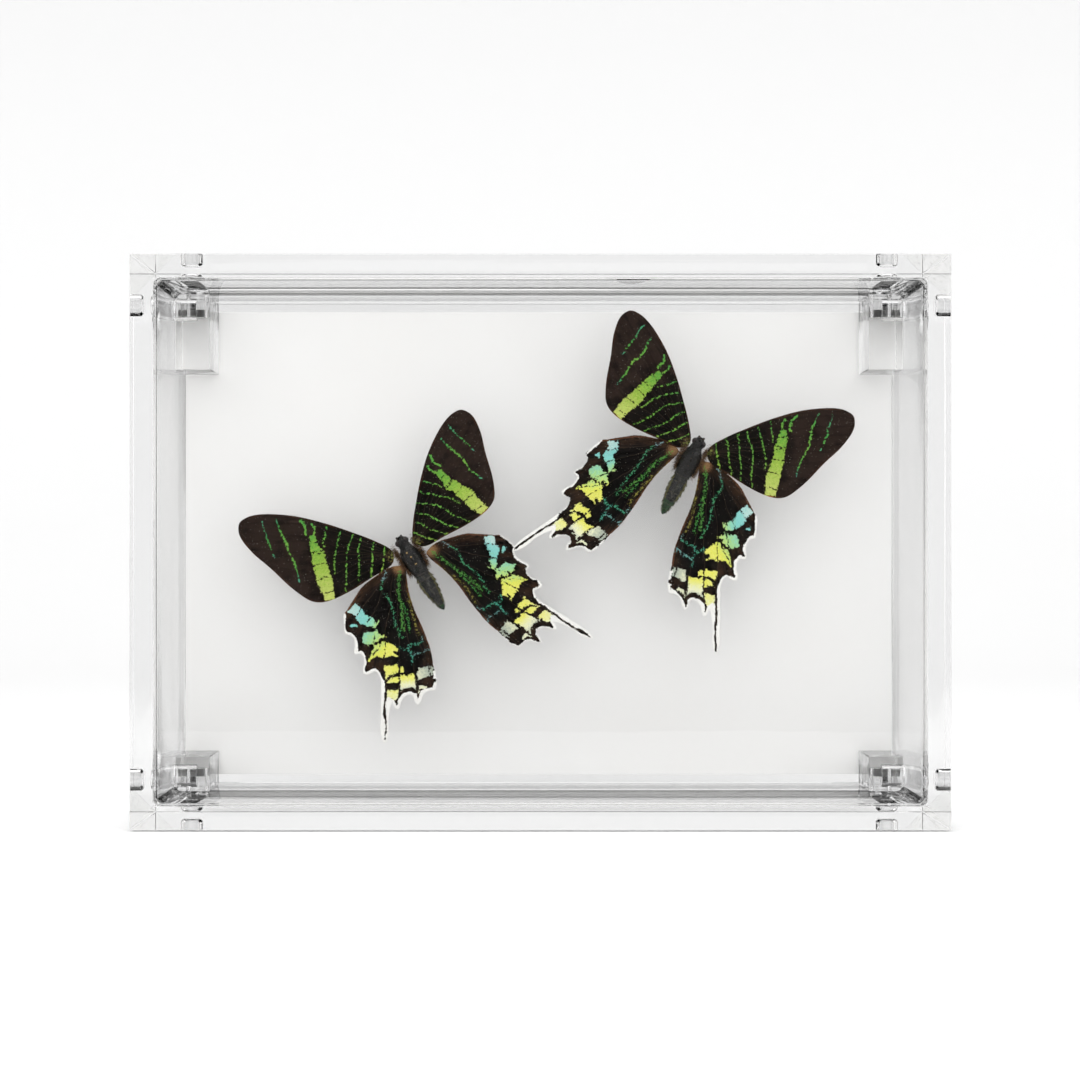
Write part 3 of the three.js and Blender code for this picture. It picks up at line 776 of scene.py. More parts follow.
def forewing_fields(points, _name):
    """What each point of a forewing carries: its marks, their tone and the ground."""
    mark = np.full(len(points), -9.0)
    tone = np.full(len(points), 0.4)
    start, low, end, high = BAND_TONES
    way = np.subtract(end, start)
    share = np.clip((points - start) @ way / (way @ way), 0, 1)
    band = ring_reach(points, BAND)
    for cut in BAND_CUTS:
        band = np.minimum(band, line_reach(points, cut)[0] - 0.09)
    mark = np.maximum(mark, band)
    tone = low + (high - low) * share
    for half, from_tone, to_tone, line in FOREWING_LINES:
        away, along = line_reach(points, line)
        cover = half - away
        tone = np.where(cover > mark, from_tone + (to_tone - from_tone) * along, tone)
        mark = np.maximum(mark, cover)
    out = np.hypot(points[:, 0] - 3.5, points[:, 1] - 4)
    edge = line_reach(points, even_ring(smooth_ring(FOREWING_OUTLINE, 8), 0.5))[0]
    return {
        "mark": mark, "tone": tone, "vein": nearest_line(points, FOREWING_VEINS),
        "warm": 1 - fade(out, 8, 27), "edge": edge,
        "amber": fade(np.hypot((points[:, 0] - 23.6) / 2.2, points[:, 1] - 0.6), 0.2, 1.1),
        "base": fade(out, 0.5, 3.5),
    }


def hindwing_fields(points, name):
    """What each point of a hindwing carries: patches, streaks, fringe and the ground."""
    mark = np.full(len(points), -9.0)
    tone = np.full(len(points), 0.6)
    for outline, start, low, end, high in HINDWING_PATCHES:
        way = np.subtract(end, start)
        share = np.clip((points - start) @ way / (way @ way), 0, 1)
        cover = ring_reach(points, outline)
        tone = np.where(cover > mark, low + (high - low) * share, tone)
        mark = np.maximum(mark, cover)
    tail = fade(points[:, 1], -30, -26) * (1 - fade(points[:, 0], 24.8, 26))
    fringe = FRINGE_WIDE[name] + 1.2 * tail - line_reach(points, SCALLOPS)[0]
    for half, line in HINDWING_STROKES:
        away = line_reach(points, line)[0] - half
        mark = np.minimum(mark, away)
        fringe = np.minimum(fringe, away)
    streak = np.full(len(points), -9.0)
    streak_tone = np.full(len(points), 0.5)
    for half, hue, line in HINDWING_STREAKS:
        cover = half - line_reach(points, line)[0]
        streak_tone = np.where(cover > streak, hue, streak_tone)
        streak = np.maximum(streak, cover)
    costal = fade(line_reach(points, COSTA)[0], 1.0, 5.5)
    inner = fade(line_reach(points, INNER_EDGE)[0], 0.3, 3.2)
    outer = 0.45 * fade(line_reach(points, SCALLOPS)[0], 3.5, 7)
    out = np.hypot(points[:, 0] - 4.5, points[:, 1] + 0.3)
    return {
        "mark": mark, "tone": tone, "vein": nearest_line(points, HINDWING_VEINS),
        "fringe": fringe, "streak": np.minimum(streak, 0.1), "streak_tone": streak_tone,
        "warm": np.maximum.reduce([0.6 * costal, 0.5 * inner, outer]), "base": fade(out, 0.5, 4),
        "edge": np.minimum(line_reach(points, COSTA)[0], line_reach(points, INNER_EDGE)[0]),
    }


VEIN_RISE = 0.09
VEIN_WIDE = 0.2
CELL_SAG = 0.1
CELL_REACH = 1.5                 # how far from a vein the sag is full
WAVE_LENGTHS = (16, 9, 6)
WAVE_STEEP = 0.008


def relief(points, veins_away, seed):
    """Height of the membrane: veins stand up, the cells between them sag, and it is a little wavy."""
    wave = np.random.default_rng(seed)
    height = VEIN_RISE * np.exp(-(veins_away / VEIN_WIDE) ** 2)
    height -= CELL_SAG * np.minimum(veins_away, CELL_REACH) / CELL_REACH
    for length in WAVE_LENGTHS:
        angle, phase = wave.uniform(0, 2 * math.pi, 2)
        along = points @ (math.cos(angle), math.sin(angle))
        height += WAVE_STEEP * length * np.sin(2 * math.pi * along / length + phase)
    return height


WOBBLE_LENGTHS = (11, 5, 2.4)
WOBBLE_SHARE = 0.018


def wobble(points, seed):
    """Points shifted a little, so that no two wings have the same marks."""
    wave = np.random.default_rng(seed)
    moved = points.copy()
    for length in WOBBLE_LENGTHS:
        for axis in (0, 1):
            angle, phase = wave.uniform(0, 2 * math.pi, 2)
            along = points @ (math.cos(angle), math.sin(angle))
            moved[:, axis] += WOBBLE_SHARE * length * np.sin(2 * math.pi * along / length + phase)
    return moved


def flat_map(source, target):
    """The flat map that takes three marks to three others."""
    basis = np.vstack([np.transpose(source), np.ones(3)])
    return np.transpose(target) @ np.linalg.inv(basis)


def make_wing(moth_name, wing_name, sheet, source, fields, seed):
    """One wing: the sheet is fitted to its three marks, given relief and a lower face."""
    moth = MOTHS[moth_name]
    points, faces = sheet
    side = 1 if wing_name.startswith("right") else -1
    kind = wing_name.split("_")[1]
    fitted = flat_map(source, moth["wings"][wing_name]) @ np.vstack([points.T, np.ones(len(points))])
    x = np.maximum(fitted[0], body_half_width(fitted[1]) + 0.4)
    y = fitted[1]
    carried = fields(wobble(points, seed), moth_name + "_" + wing_name)
    z = MEMBRANE_RISE[kind] + x * WING_TILT + relief(points, carried["vein"], seed)
    count = len(points)
    upper = to_frame(moth, side * x, y, z + MEMBRANE / 2)
    lower = to_frame(moth, side * x, y, z - MEMBRANE / 2)
    if side < 0:
        faces = faces[:, ::-1]
    pairs = np.vstack([faces[:, [0, 1]], faces[:, [1, 2]], faces[:, [2, 0]]])
    both_ways = set(map(tuple, pairs))
    rim = [(a, b) for a, b in both_ways if (b, a) not in both_ways]
    all_faces = [tuple(f) for f in faces] + [tuple(f[::-1] + count) for f in faces]
    all_faces += [(b, a, a + count, b + count) for a, b in sorted(rim)]
    mesh = bpy.data.meshes.new(moth_name + "_" + wing_name + "_scaled")
    mesh.from_pydata(np.vstack([upper, lower]).tolist(), [], [tuple(map(int, f)) for f in all_faces])
    mesh.shade_smooth()
    for name, values in carried.items():
        attribute = mesh.attributes.new(name, "FLOAT", "POINT")
        attribute.data.foreach_set("value", np.tile(values, 2).astype(np.float32))
    corner = np.zeros(len(mesh.loops), np.int32)
    mesh.loops.foreach_get("vertex_index", corner)
    flat = np.vstack([points, points])
    drift = np.random.default_rng(seed).uniform(0, 0.2, 2)
    mesh.uv_layers.new(name="wing")
    spread = (flat / UV_SPAN + drift)[corner]
    mesh.uv_layers["wing"].data.foreach_set("uv", spread.astype(np.float32).ravel())
    hinge = np.array(source[0])
    away = flat - hinge
    rays = np.stack([np.arctan2(away[:, 1], away[:, 0]), np.hypot(*away.T) / UV_SPAN], axis=1)
    mesh.uv_layers.new(name="rays")
    mesh.uv_layers["rays"].data.foreach_set("uv", rays[corner].astype(np.float32).ravel())
    piece = bpy.data.objects.new(mesh.name, mesh)
    bpy.context.scene.collection.objects.link(piece)
    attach(piece, "root")
    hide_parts(moth_name + "_" + wing_name)
    return piece


def scale_cloth(tree):
    """Patterns both kinds of wing share, each about zero: scales, beads, streaks and clouds."""
    uv = node(tree, "ShaderNodeUVMap", uv_map="wing")
    rays = node(tree, "ShaderNodeUVMap", uv_map="rays")
    long_rays = node(tree, "ShaderNodeMapping", {"Vector": rays, "Scale": (40, 6, 1)})
    patterns = []
    for vector, scale, detail in ((uv, 180, 2), (uv, 75, 1), (long_rays, 1, 3), (uv, 14, 3)):
        noise = node(
            tree, "ShaderNodeTexNoise", {"Vector": vector, "Scale": scale, "Detail": detail}
        )
        patterns.append(node(tree, "ShaderNodeMath", {0: noise, 1: 0.5}, operation="SUBTRACT"))
    grit = node(tree, "ShaderNodeTexNoise", {"Vector": uv, "Scale": 140, "Detail": 0})
    dust = node(
        tree, "ShaderNodeMapRange", {"Value": grit, "From Min": 0.77, "From Max": 0.8, "To Max": 0.5}
    )
    return (*patterns, dust)


def uneven(tree, value, *patterns):
    """A value made uneven by adding patterns, each with its strength."""
    for pattern, strength in patterns:
        value = node(
            tree, "ShaderNodeMath", {0: pattern, 1: strength, 2: value}, operation="MULTIPLY_ADD"
        )
    return value


forewing_scales, tree, surface = new_material("forewing scales")
# Velvety black-brown scales with bands of scales whose layers reflect green. They are a
# tenth of a millimetre, which is too fine to show one by one, so their clumps are drawn.
fine, beads, streaks, clouds, dust = scale_cloth(tree)
mark, tone, vein_away, warmth, edge, amber, hinge = (
    node(tree, "ShaderNodeAttribute", out="Fac", attribute_name=name)
    for name in ("mark", "tone", "vein", "warm", "edge", "amber", "base")
)
ragged = uneven(tree, mark, (beads, 1.3), (fine, 0.8))
shown = node(tree, "ShaderNodeMapRange", {"Value": ragged, "From Min": -0.05, "From Max": 0.05})
gaps = node(
    tree, "ShaderNodeMapRange",
    {"Value": fine, "From Min": 0.06, "From Max": 0.19, "To Min": 1, "To Max": 0.4},
)
shown = node(tree, "ShaderNodeMath", {0: shown, 1: gaps}, operation="MULTIPLY")
green = node(
    tree, "ShaderNodeValToRGB", {"Fac": uneven(tree, tone, (beads, 0.4), (fine, 0.3))},
    stops=((0.0, "#4a9c86"), (0.25, "#3f9c45"), (0.45, "#68a63f"), (0.7, "#98ba48"), (1.0, "#c4cf6e")),
)
warm = uneven(tree, warmth, (streaks, 0.45), (clouds, 1.5), (fine, 0.5))
ground = node(
    tree, "ShaderNodeValToRGB", {"Fac": warm},
    stops=((0.0, "#0c0907"), (0.45, "#140e0b"), (0.75, "#1f1612"), (1.0, "#2b201b")),
)
vein = node(
    tree, "ShaderNodeMapRange",
    {"Value": vein_away, "From Min": 0.05, "From Max": 0.16, "To Min": 0.35, "To Max": 0},
)
vein_colour = node(
    tree, "ShaderNodeValToRGB", {"Fac": warm}, stops=((0.2, "#43342a"), (0.8, "#0f0a08"))
)
ground = node(tree, "ShaderNodeMixRGB", {"Fac": vein, "Color1": ground, "Color2": vein_colour})
rim = node(
    tree, "ShaderNodeMapRange",
    {"Value": edge, "From Min": 0.05, "From Max": 0.4, "To Min": 0.75, "To Max": 0},
)
rim_colour = node(
    tree, "ShaderNodeValToRGB", {"Fac": amber}, stops=((0.0, "#462c1f"), (1.0, "#c8853c"))
)
ground = node(tree, "ShaderNodeMixRGB", {"Fac": rim, "Color1": ground, "Color2": rim_colour})
flecks = node(tree, "ShaderNodeMapRange", {"Value": beads, "From Min": -0.05, "From Max": 0.15})
flecks = node(tree, "ShaderNodeMath", {0: flecks, 1: hinge}, operation="MULTIPLY")
fleck_colour = node(
    tree, "ShaderNodeValToRGB", {"Fac": uneven(tree, hinge, (fine, 2.0))},
    stops=((0.3, "#2c1f16"), (0.7, "#6b5030"), (1.0, "#8b9a4a")),
)
ground = node(tree, "ShaderNodeMixRGB", {"Fac": flecks, "Color1": ground, "Color2": fleck_colour})
ground = node(tree, "ShaderNodeMixRGB", {"Fac": dust, "Color1": ground, "Color2": "#8f8c80"})
colour = node(tree, "ShaderNodeMixRGB", {"Fac": shown, "Color1": ground, "Color2": green})
tree.links.new(surface.inputs["Base Color"], colour)
gloss = node(tree, "ShaderNodeMapRange", {"Value": shown, "To Min": 0.75, "To Max": 0.5})
tree.links.new(surface.inputs["Roughness"], gloss)
surface.inputs["Specular IOR Level"].default_value = 0.1
lift = node(tree, "ShaderNodeBump", {"Height": fine, "Strength": 0.25, "Distance": 0.0001})
tree.links.new(surface.inputs["Normal"], lift)

hindwing_scales, tree, surface = new_material("hindwing scales")
# The same scales in turquoise, green and yellow patches, metallic green streaks and, along
# the scalloped margin, a fringe of long white scales.
fine, beads, streaks, clouds, dust = scale_cloth(tree)
mark, tone, vein_away, fringe, streak, streak_tone, warmth, edge, hinge = (
    node(tree, "ShaderNodeAttribute", out="Fac", attribute_name=name)
    for name in ("mark", "tone", "vein", "fringe", "streak", "streak_tone", "warm", "edge", "base")
)
warm = uneven(tree, warmth, (streaks, 0.8), (clouds, 0.9), (fine, 0.4))
ground = node(
    tree, "ShaderNodeValToRGB", {"Fac": warm},
    stops=((0.0, "#0b0908"), (0.4, "#1a130f"), (0.75, "#362519"), (1.0, "#553c2a")),
)
vein = node(
    tree, "ShaderNodeMapRange",
    {"Value": vein_away, "From Min": 0.05, "From Max": 0.16, "To Min": 0.55, "To Max": 0},
)
vein_colour = node(
    tree, "ShaderNodeValToRGB", {"Fac": warm}, stops=((0.2, "#3d3026"), (0.8, "#140d09"))
)
ground = node(tree, "ShaderNodeMixRGB", {"Fac": vein, "Color1": ground, "Color2": vein_colour})
rim = node(
    tree, "ShaderNodeMapRange",
    {"Value": uneven(tree, edge, (beads, 0.8)), "From Min": 0.1, "From Max": 0.45,
     "To Min": 0.7, "To Max": 0},
)
ground = node(tree, "ShaderNodeMixRGB", {"Fac": rim, "Color1": ground, "Color2": "#6b4630"})
tuft = node(
    tree, "ShaderNodeMapRange",
    {"Value": uneven(tree, hinge, (streaks, 0.8), (fine, 0.8)), "From Min": 0.3, "From Max": 1,
     "To Max": 0.9},
)
tuft_colour = node(
    tree, "ShaderNodeValToRGB", {"Fac": uneven(tree, hinge, (fine, 2.0))},
    stops=((0.3, "#4a3121"), (1.0, "#9a7551")),
)
ground = node(tree, "ShaderNodeMixRGB", {"Fac": tuft, "Color1": ground, "Color2": tuft_colour})
ground = node(tree, "ShaderNodeMixRGB", {"Fac": dust, "Color1": ground, "Color2": "#8f8c80"})
dotted = uneven(tree, streak, (beads, 2.2), (fine, 2.6))
dots = node(
    tree, "ShaderNodeMapRange",
    {"Value": dotted, "From Min": 0.04, "From Max": 0.2, "To Max": 0.85},
)
dot_colour = node(
    tree, "ShaderNodeValToRGB", {"Fac": uneven(tree, streak_tone, (beads, 0.3))},
    stops=((0.0, "#86a3a8"), (0.25, "#4aa893"), (0.5, "#45913e"), (0.8, "#77863a"), (1.0, "#8d7c36")),
)
colour = node(tree, "ShaderNodeMixRGB", {"Fac": dots, "Color1": ground, "Color2": dot_colour})
ragged = uneven(tree, mark, (clouds, 0.9), (beads, 1.4), (fine, 0.8))
shown = node(tree, "ShaderNodeMapRange", {"Value": ragged, "From Min": -0.05, "From Max": 0.06})
gaps = node(
    tree, "ShaderNodeMapRange",
    {"Value": fine, "From Min": 0.14, "From Max": 0.21, "To Min": 1, "To Max": 0.55},
)
shown = node(tree, "ShaderNodeMath", {0: shown, 1: gaps}, operation="MULTIPLY")
patch = node(
    tree, "ShaderNodeValToRGB", {"Fac": uneven(tree, tone, (beads, 0.2), (fine, 0.15))},
    stops=(
        (0.0, "#bedad4"), (0.2, "#82cec8"), (0.4, "#a8d68e"), (0.58, "#e4e45f"), (0.68, "#ebea82"),
        (0.84, "#eceecb"), (1.0, "#a9b2a4"),
    ),
)
colour = node(tree, "ShaderNodeMixRGB", {"Fac": shown, "Color1": colour, "Color2": patch})
frayed = uneven(tree, fringe, (fine, 0.6), (beads, 0.7), (clouds, 1.2))
white = node(tree, "ShaderNodeMapRange", {"Value": frayed, "From Min": -0.04, "From Max": 0.08})
fringe_colour = node(
    tree, "ShaderNodeValToRGB", {"Fac": uneven(tree, white, (fine, 1.5))},
    stops=((0.6, "#cfccc4"), (1.0, "#fbfaf6")),
)
colour = node(tree, "ShaderNodeMixRGB", {"Fac": white, "Color1": colour, "Color2": fringe_colour})
tree.links.new(surface.inputs["Base Color"], colour)
gloss = node(tree, "ShaderNodeMapRange", {"Value": dots, "To Min": 0.7, "To Max": 0.45})
tree.links.new(surface.inputs["Roughness"], gloss)
surface.inputs["Specular IOR Level"].default_value = 0.1
lift = node(tree, "ShaderNodeBump", {"Height": fine, "Strength": 0.25, "Distance": 0.0001})
tree.links.new(surface.inputs["Normal"], lift)

# The forewing's margin is worn smooth, the hindwing's is frayed.
FOREWING_FRAY = 0.02
HINDWING_FRAY = 0.05
wing_kinds = {
    "forewing": (
        wing_sheet(FOREWING_OUTLINE, FOREWING_FRAY), FOREWING_MARKS, forewing_fields, forewing_scales
    ),
    "hindwing": (
        wing_sheet(HINDWING_OUTLINE, HINDWING_FRAY), HINDWING_MARKS, hindwing_fields, hindwing_scales
    ),
}
for moth_number, (moth_name, moth) in enumerate(MOTHS.items()):
    for wing_number, wing_name in enumerate(moth["wings"]):
        seed = 11 + 10 * moth_number + wing_number
        sheet, source, fields, scales = wing_kinds[wing_name.split("_")[1]]
        wing = make_wing(moth_name, wing_name, sheet, source, fields, seed)
        wing.data.materials.append(scales)

# Bodies
# Head, thorax and abdomen with the legs folded beneath, as they dried. The chitin is covered
# with flat dark scales, metallic green at the tail end, and brown hair where the wings join.
BODY_RINGS = 110
BODY_ROUND = 44
BODY_FLAT = 0.92
SEGMENT_EDGES = (-15.4, -13.8, -12.1, -10.4, -8.7, -7.0, -5.2)
THORAX_PADS = (
    # middle across, middle along, half width, half length, height
    (1.15, 2.2, 0.7, 1.2, 0.5), (1.5, -0.9, 0.7, 1.4, 0.42), (0.0, 3.3, 0.8, 0.4, 0.35),
    (0.0, -3.0, 1.1, 0.7, 0.42),
)
EYE_AT = (1.1, 5.35, 0.35)
EYE_R = 0.95

trunk_material, tree, surface = new_material("dark scaled chitin")
# Near black and glossy over small lumps, with a painted highlight: a grey shine painted along the
# back, strongest on the abdomen. Olive along the abdomen's sides, pale lines between segments and
# metallic green scales at the tail end.
uv = node(tree, "ShaderNodeUVMap", uv_map="body")
fine = node(tree, "ShaderNodeTexNoise", {"Vector": uv, "Scale": 80, "Detail": 4})
clumps = node(tree, "ShaderNodeTexNoise", {"Vector": uv, "Scale": 18, "Detail": 3})
colour = node(
    tree, "ShaderNodeValToRGB", {"Fac": fine},
    stops=((0.35, "#050403"), (0.55, "#0f0d0b"), (0.72, "#2b2822")),
)
for mark_name, pattern, strength, low, high, most, dark, light in (
    # The first row is a painted highlight: a grey band along the back in place of the chitin's shine.
    ("painted_shine", clumps, 1.6, 0.4, 0.8, 0.75, "#1b1a17", "#6b6a61"),
    ("olive", fine, 1.2, 0.35, 0.75, 0.85, "#33321a", "#74703f"),
    ("green", clumps, 1.2, 0.35, 0.6, 0.95, "#050f06", "#1f4a1e"),
    ("line", fine, 0.5, 0.55, 0.8, 0.35, "#3f3c32", "#8a846c"),
    ("brown", clumps, 1.5, 0.4, 0.8, 0.9, "#21150e", "#6b4a33"),
    ("gold", fine, 1.2, 0.4, 0.6, 1, "#a5773a", "#e3c27c"),
):
    carried = node(tree, "ShaderNodeAttribute", out="Fac", attribute_name=mark_name)
    centred = node(tree, "ShaderNodeMath", {0: pattern, 1: 0.5}, operation="SUBTRACT")
    cover = node(
        tree, "ShaderNodeMapRange",
        {"Value": uneven(tree, carried, (centred, strength)), "From Min": low, "From Max": high,
         "To Max": most},
    )
    mark_colour = node(
        tree, "ShaderNodeValToRGB", {"Fac": fine}, stops=((0.35, dark), (0.65, light))
    )
    colour = node(
        tree, "ShaderNodeMixRGB", {"Fac": cover, "Color1": colour, "Color2": mark_colour}
    )
tree.links.new(surface.inputs["Base Color"], colour)
gloss = node(
    tree, "ShaderNodeMapRange",
    {"Value": fine, "From Min": 0.35, "From Max": 0.65, "To Min": 0.3, "To Max": 0.12},
)
tree.links.new(surface.inputs["Roughness"], gloss)
surface.inputs["Specular IOR Level"].default_value = 0.5
lumps = node(tree, "ShaderNodeMath", {0: fine, 1: 0.2, 2: clumps}, operation="MULTIPLY_ADD")
lift = node(tree, "ShaderNodeBump", {"Height": lumps, "Strength": 0.8, "Distance": 0.0012})
tree.links.new(surface.inputs["Normal"], lift)

eye_material, tree, surface = new_material("dried compound eye")
# Dark brown facets with a dull gloss, far too fine to show one by one.
place = node(tree, "ShaderNodeTexCoord", out="Object")
facets = node(tree, "ShaderNodeTexVoronoi", {"Vector": place, "Scale": 9000})
colour = node(
    tree, "ShaderNodeValToRGB", {"Fac": facets}, stops=((0.1, "#0b0808"), (0.6, "#241a16"))
)
tree.links.new(surface.inputs["Base Color"], colour)
surface.inputs["Roughness"].default_value = 0.3
lift = node(tree, "ShaderNodeBump", {"Height": facets, "Strength": 0.3, "Distance": 0.00002})
tree.links.new(surface.inputs["Normal"], lift)

leg_material, tree, surface = new_material("leg and palp chitin")
# Thin brown-black shafts with a little mottling.
place = node(tree, "ShaderNodeTexCoord", out="Object")
mottle = node(tree, "ShaderNodeTexNoise", {"Vector": place, "Scale": 2500, "Detail": 3})
colour = node(
    tree, "ShaderNodeValToRGB", {"Fac": mottle}, stops=((0.35, "#0c0908"), (0.7, "#3a2d24"))
)
tree.links.new(surface.inputs["Base Color"], colour)
surface.inputs["Roughness"].default_value = 0.4

hair_materials = {}
for hair_name, root, tip in (
    ("black body hair", "#080706", "#201d19"), ("brown wing-base hair", "#35241a", "#8a6a4c"),
    ("olive side hair", "#2a2617", "#6f683b"),
):
    hair_materials[hair_name], tree, surface = new_material(hair_name)
    # Fine dull hair, uneven in tone, which softens the outline of the body.
    place = node(tree, "ShaderNodeTexCoord", out="Object")
    tufts = node(tree, "ShaderNodeTexNoise", {"Vector": place, "Scale": 1800, "Detail": 2})
    colour = node(tree, "ShaderNodeValToRGB", {"Fac": tufts}, stops=((0.35, root), (0.65, tip)))
    tree.links.new(surface.inputs["Base Color"], colour)
    surface.inputs["Roughness"].default_value = 0.7
    surface.inputs["Specular IOR Level"].default_value = 0.2

# Height of the trunk's skin at each segment: the rear end of one overlaps the next.
SEGMENT_LAP = 0.12
SEGMENT_STEP = 0.075


def trunk_points(y, turn):
    """Surface of the trunk at a place along it and a turn round it, 0 on the right side."""
    half = body_half_width(y)
    abdomen = fade(y, -5.6, -4.4)
    knots = [edge + lap for edge in SEGMENT_EDGES for lap in (-SEGMENT_LAP, SEGMENT_LAP)]
    steps = [-SEGMENT_STEP, SEGMENT_STEP] * len(SEGMENT_EDGES)
    swell = np.interp(y, knots, steps) * abdomen
    flank = np.exp(-((np.abs(np.cos(turn)) - 1) / 0.12) ** 2)
    swell = swell + 0.14 * flank * abdomen * np.sin(math.pi * (y + 16) / 11).clip(0, 1)
    swell = swell - 0.1 * np.exp(-((np.abs(np.cos(turn)) - 0.72) / 0.12) ** 2) * abdomen
    swell = swell + 0.035 * np.sin(2.9 * y + 3 * turn) * np.sin(1.3 * y - 2 * turn + 1)
    swell = swell + 0.02 * np.sin(6.1 * y - 5 * turn)
    across = half * np.cos(turn) * (1 + swell)
    up = half * BODY_FLAT * np.sin(turn) * (1 + swell)
    above = np.sin(turn) > 0
    for mid_x, mid_y, wide, long, tall in THORAX_PADS:
        pad = np.exp(-((np.abs(across) - mid_x) / wide) ** 2 - ((y - mid_y) / long) ** 2)
        up = up + np.where(above, tall * pad * np.sin(turn), 0)
    groove = 0.2 * np.exp(-(across / 0.16) ** 2) * fade(np.abs(y - 0.4), 1.2, 2.6)
    return across, up - np.where(above, groove, 0)


def limb(points, radii, sides=10):
    """A tapering tube through a few points, with closed round ends."""
    path = np.asarray(points, float)
    run = np.concatenate([[0], np.cumsum(np.linalg.norm(np.diff(path, axis=0), axis=1))])
    at = np.linspace(0, run[-1], 6 * len(path))
    centre = np.stack([np.interp(at, run, path[:, k]) for k in range(3)], axis=1)
    radius = np.interp(at, run, radii)
    radius[[0, -1]] *= 0.35
    way = np.gradient(centre, axis=0)
    way /= np.linalg.norm(way, axis=1, keepdims=True)
    side = np.cross(way, (0.3, 0.2, 1.0))
    side /= np.linalg.norm(side, axis=1, keepdims=True)
    over = np.cross(way, side)
    turn = np.arange(sides) * 2 * math.pi / sides
    rings = centre[:, None] + radius[:, None, None] * (
        np.cos(turn)[None, :, None] * side[:, None] + np.sin(turn)[None, :, None] * over[:, None]
    )
    return rings.reshape(-1, 3), tube_faces(len(at), sides)


def tube_faces(rings, sides):
    """Faces of a stack of rings, closed at both ends."""
    faces = []
    for ring in range(rings - 1):
        for k in range(sides):
            a = ring * sides + k
            b = ring * sides + (k + 1) % sides
            faces.append((a, b, b + sides, a + sides))
    faces.append(tuple(range(sides))[::-1])
    faces.append(tuple((rings - 1) * sides + k for k in range(sides)))
    return faces


def new_piece(name, moth, points, faces, material):
    """A mesh of a moth's own millimetres, placed in the frame with its faces outward."""
    mesh = bpy.data.meshes.new(name)
    placed = to_frame(moth, points[:, 0], points[:, 1], points[:, 2])
    mesh.from_pydata(placed.tolist(), [], faces)
    mesh.materials.append(material)
    shell = bmesh.new()
    shell.from_mesh(mesh)
    bmesh.ops.recalc_face_normals(shell, faces=shell.faces)
    shell.to_mesh(mesh)
    shell.free()
    mesh.shade_smooth()
    piece = bpy.data.objects.new(name, mesh)
    bpy.context.scene.collection.objects.link(piece)
    return piece


def hairs(roots, ways, lengths, width, rng):
    """Thin bent hairs as closed three-sided spikes."""
    points = []
    faces = []
    for root, way, length in zip(roots, ways, lengths):
        way = way / np.linalg.norm(way)
        side = np.cross(way, rng.normal(size=3))
        side /= np.linalg.norm(side)
        over = np.cross(way, side)
        bend = side * length * rng.uniform(-0.25, 0.25)
        first = len(points)
        for share, wide in ((0.0, 1.0), (0.55, 0.7)):
            middle = root + way * length * share + bend * share ** 2
            for k in range(3):
                angle = k * 2 * math.pi / 3
                points.append(middle + width * wide * (math.cos(angle) * side + math.sin(angle) * over))
        points.append(root + way * length + bend)
        for k in range(3):
            a, b = first + k, first + (k + 1) % 3
            faces += [(a, b, b + 3, a + 3), (a + 3, b + 3, first + 6)]
        faces.append((first + 2, first + 1, first))
    return np.array(points), faces


def join(pieces, name):
    """Joins pieces into one object, which keeps each one's material."""
    bpy.ops.object.select_all(action="DESELECT")
    for piece in pieces:
        piece.select_set(True)
    bpy.context.view_layer.objects.active = pieces[0]
    bpy.ops.object.join()
    pieces[0].name = name
    return pieces[0]


FUR_COUNT = 700
FUR_WIDE = 0.028
FLANK_HAIR_COUNT = 900
FLANK_HAIR_WIDE = 0.025
TUFT_HAIR_WIDE = 0.03
PALP_RADII = (0.42, 0.4, 0.34, 0.22)
LEG_RADII = (0.42, 0.3, 0.14)
LEGS = (
    ((1.2, 2.0, -1.5), (1.6, 3.0, -2.7), (1.1, 5.6, -3.2)),
    ((1.3, -0.4, -1.7), (2.5, -1.4, -3.2), (1.6, -4.4, -3.8)),
    ((1.2, -2.8, -1.5), (1.7, -5.0, -2.8), (1.2, -8.8, -3.3)),
)

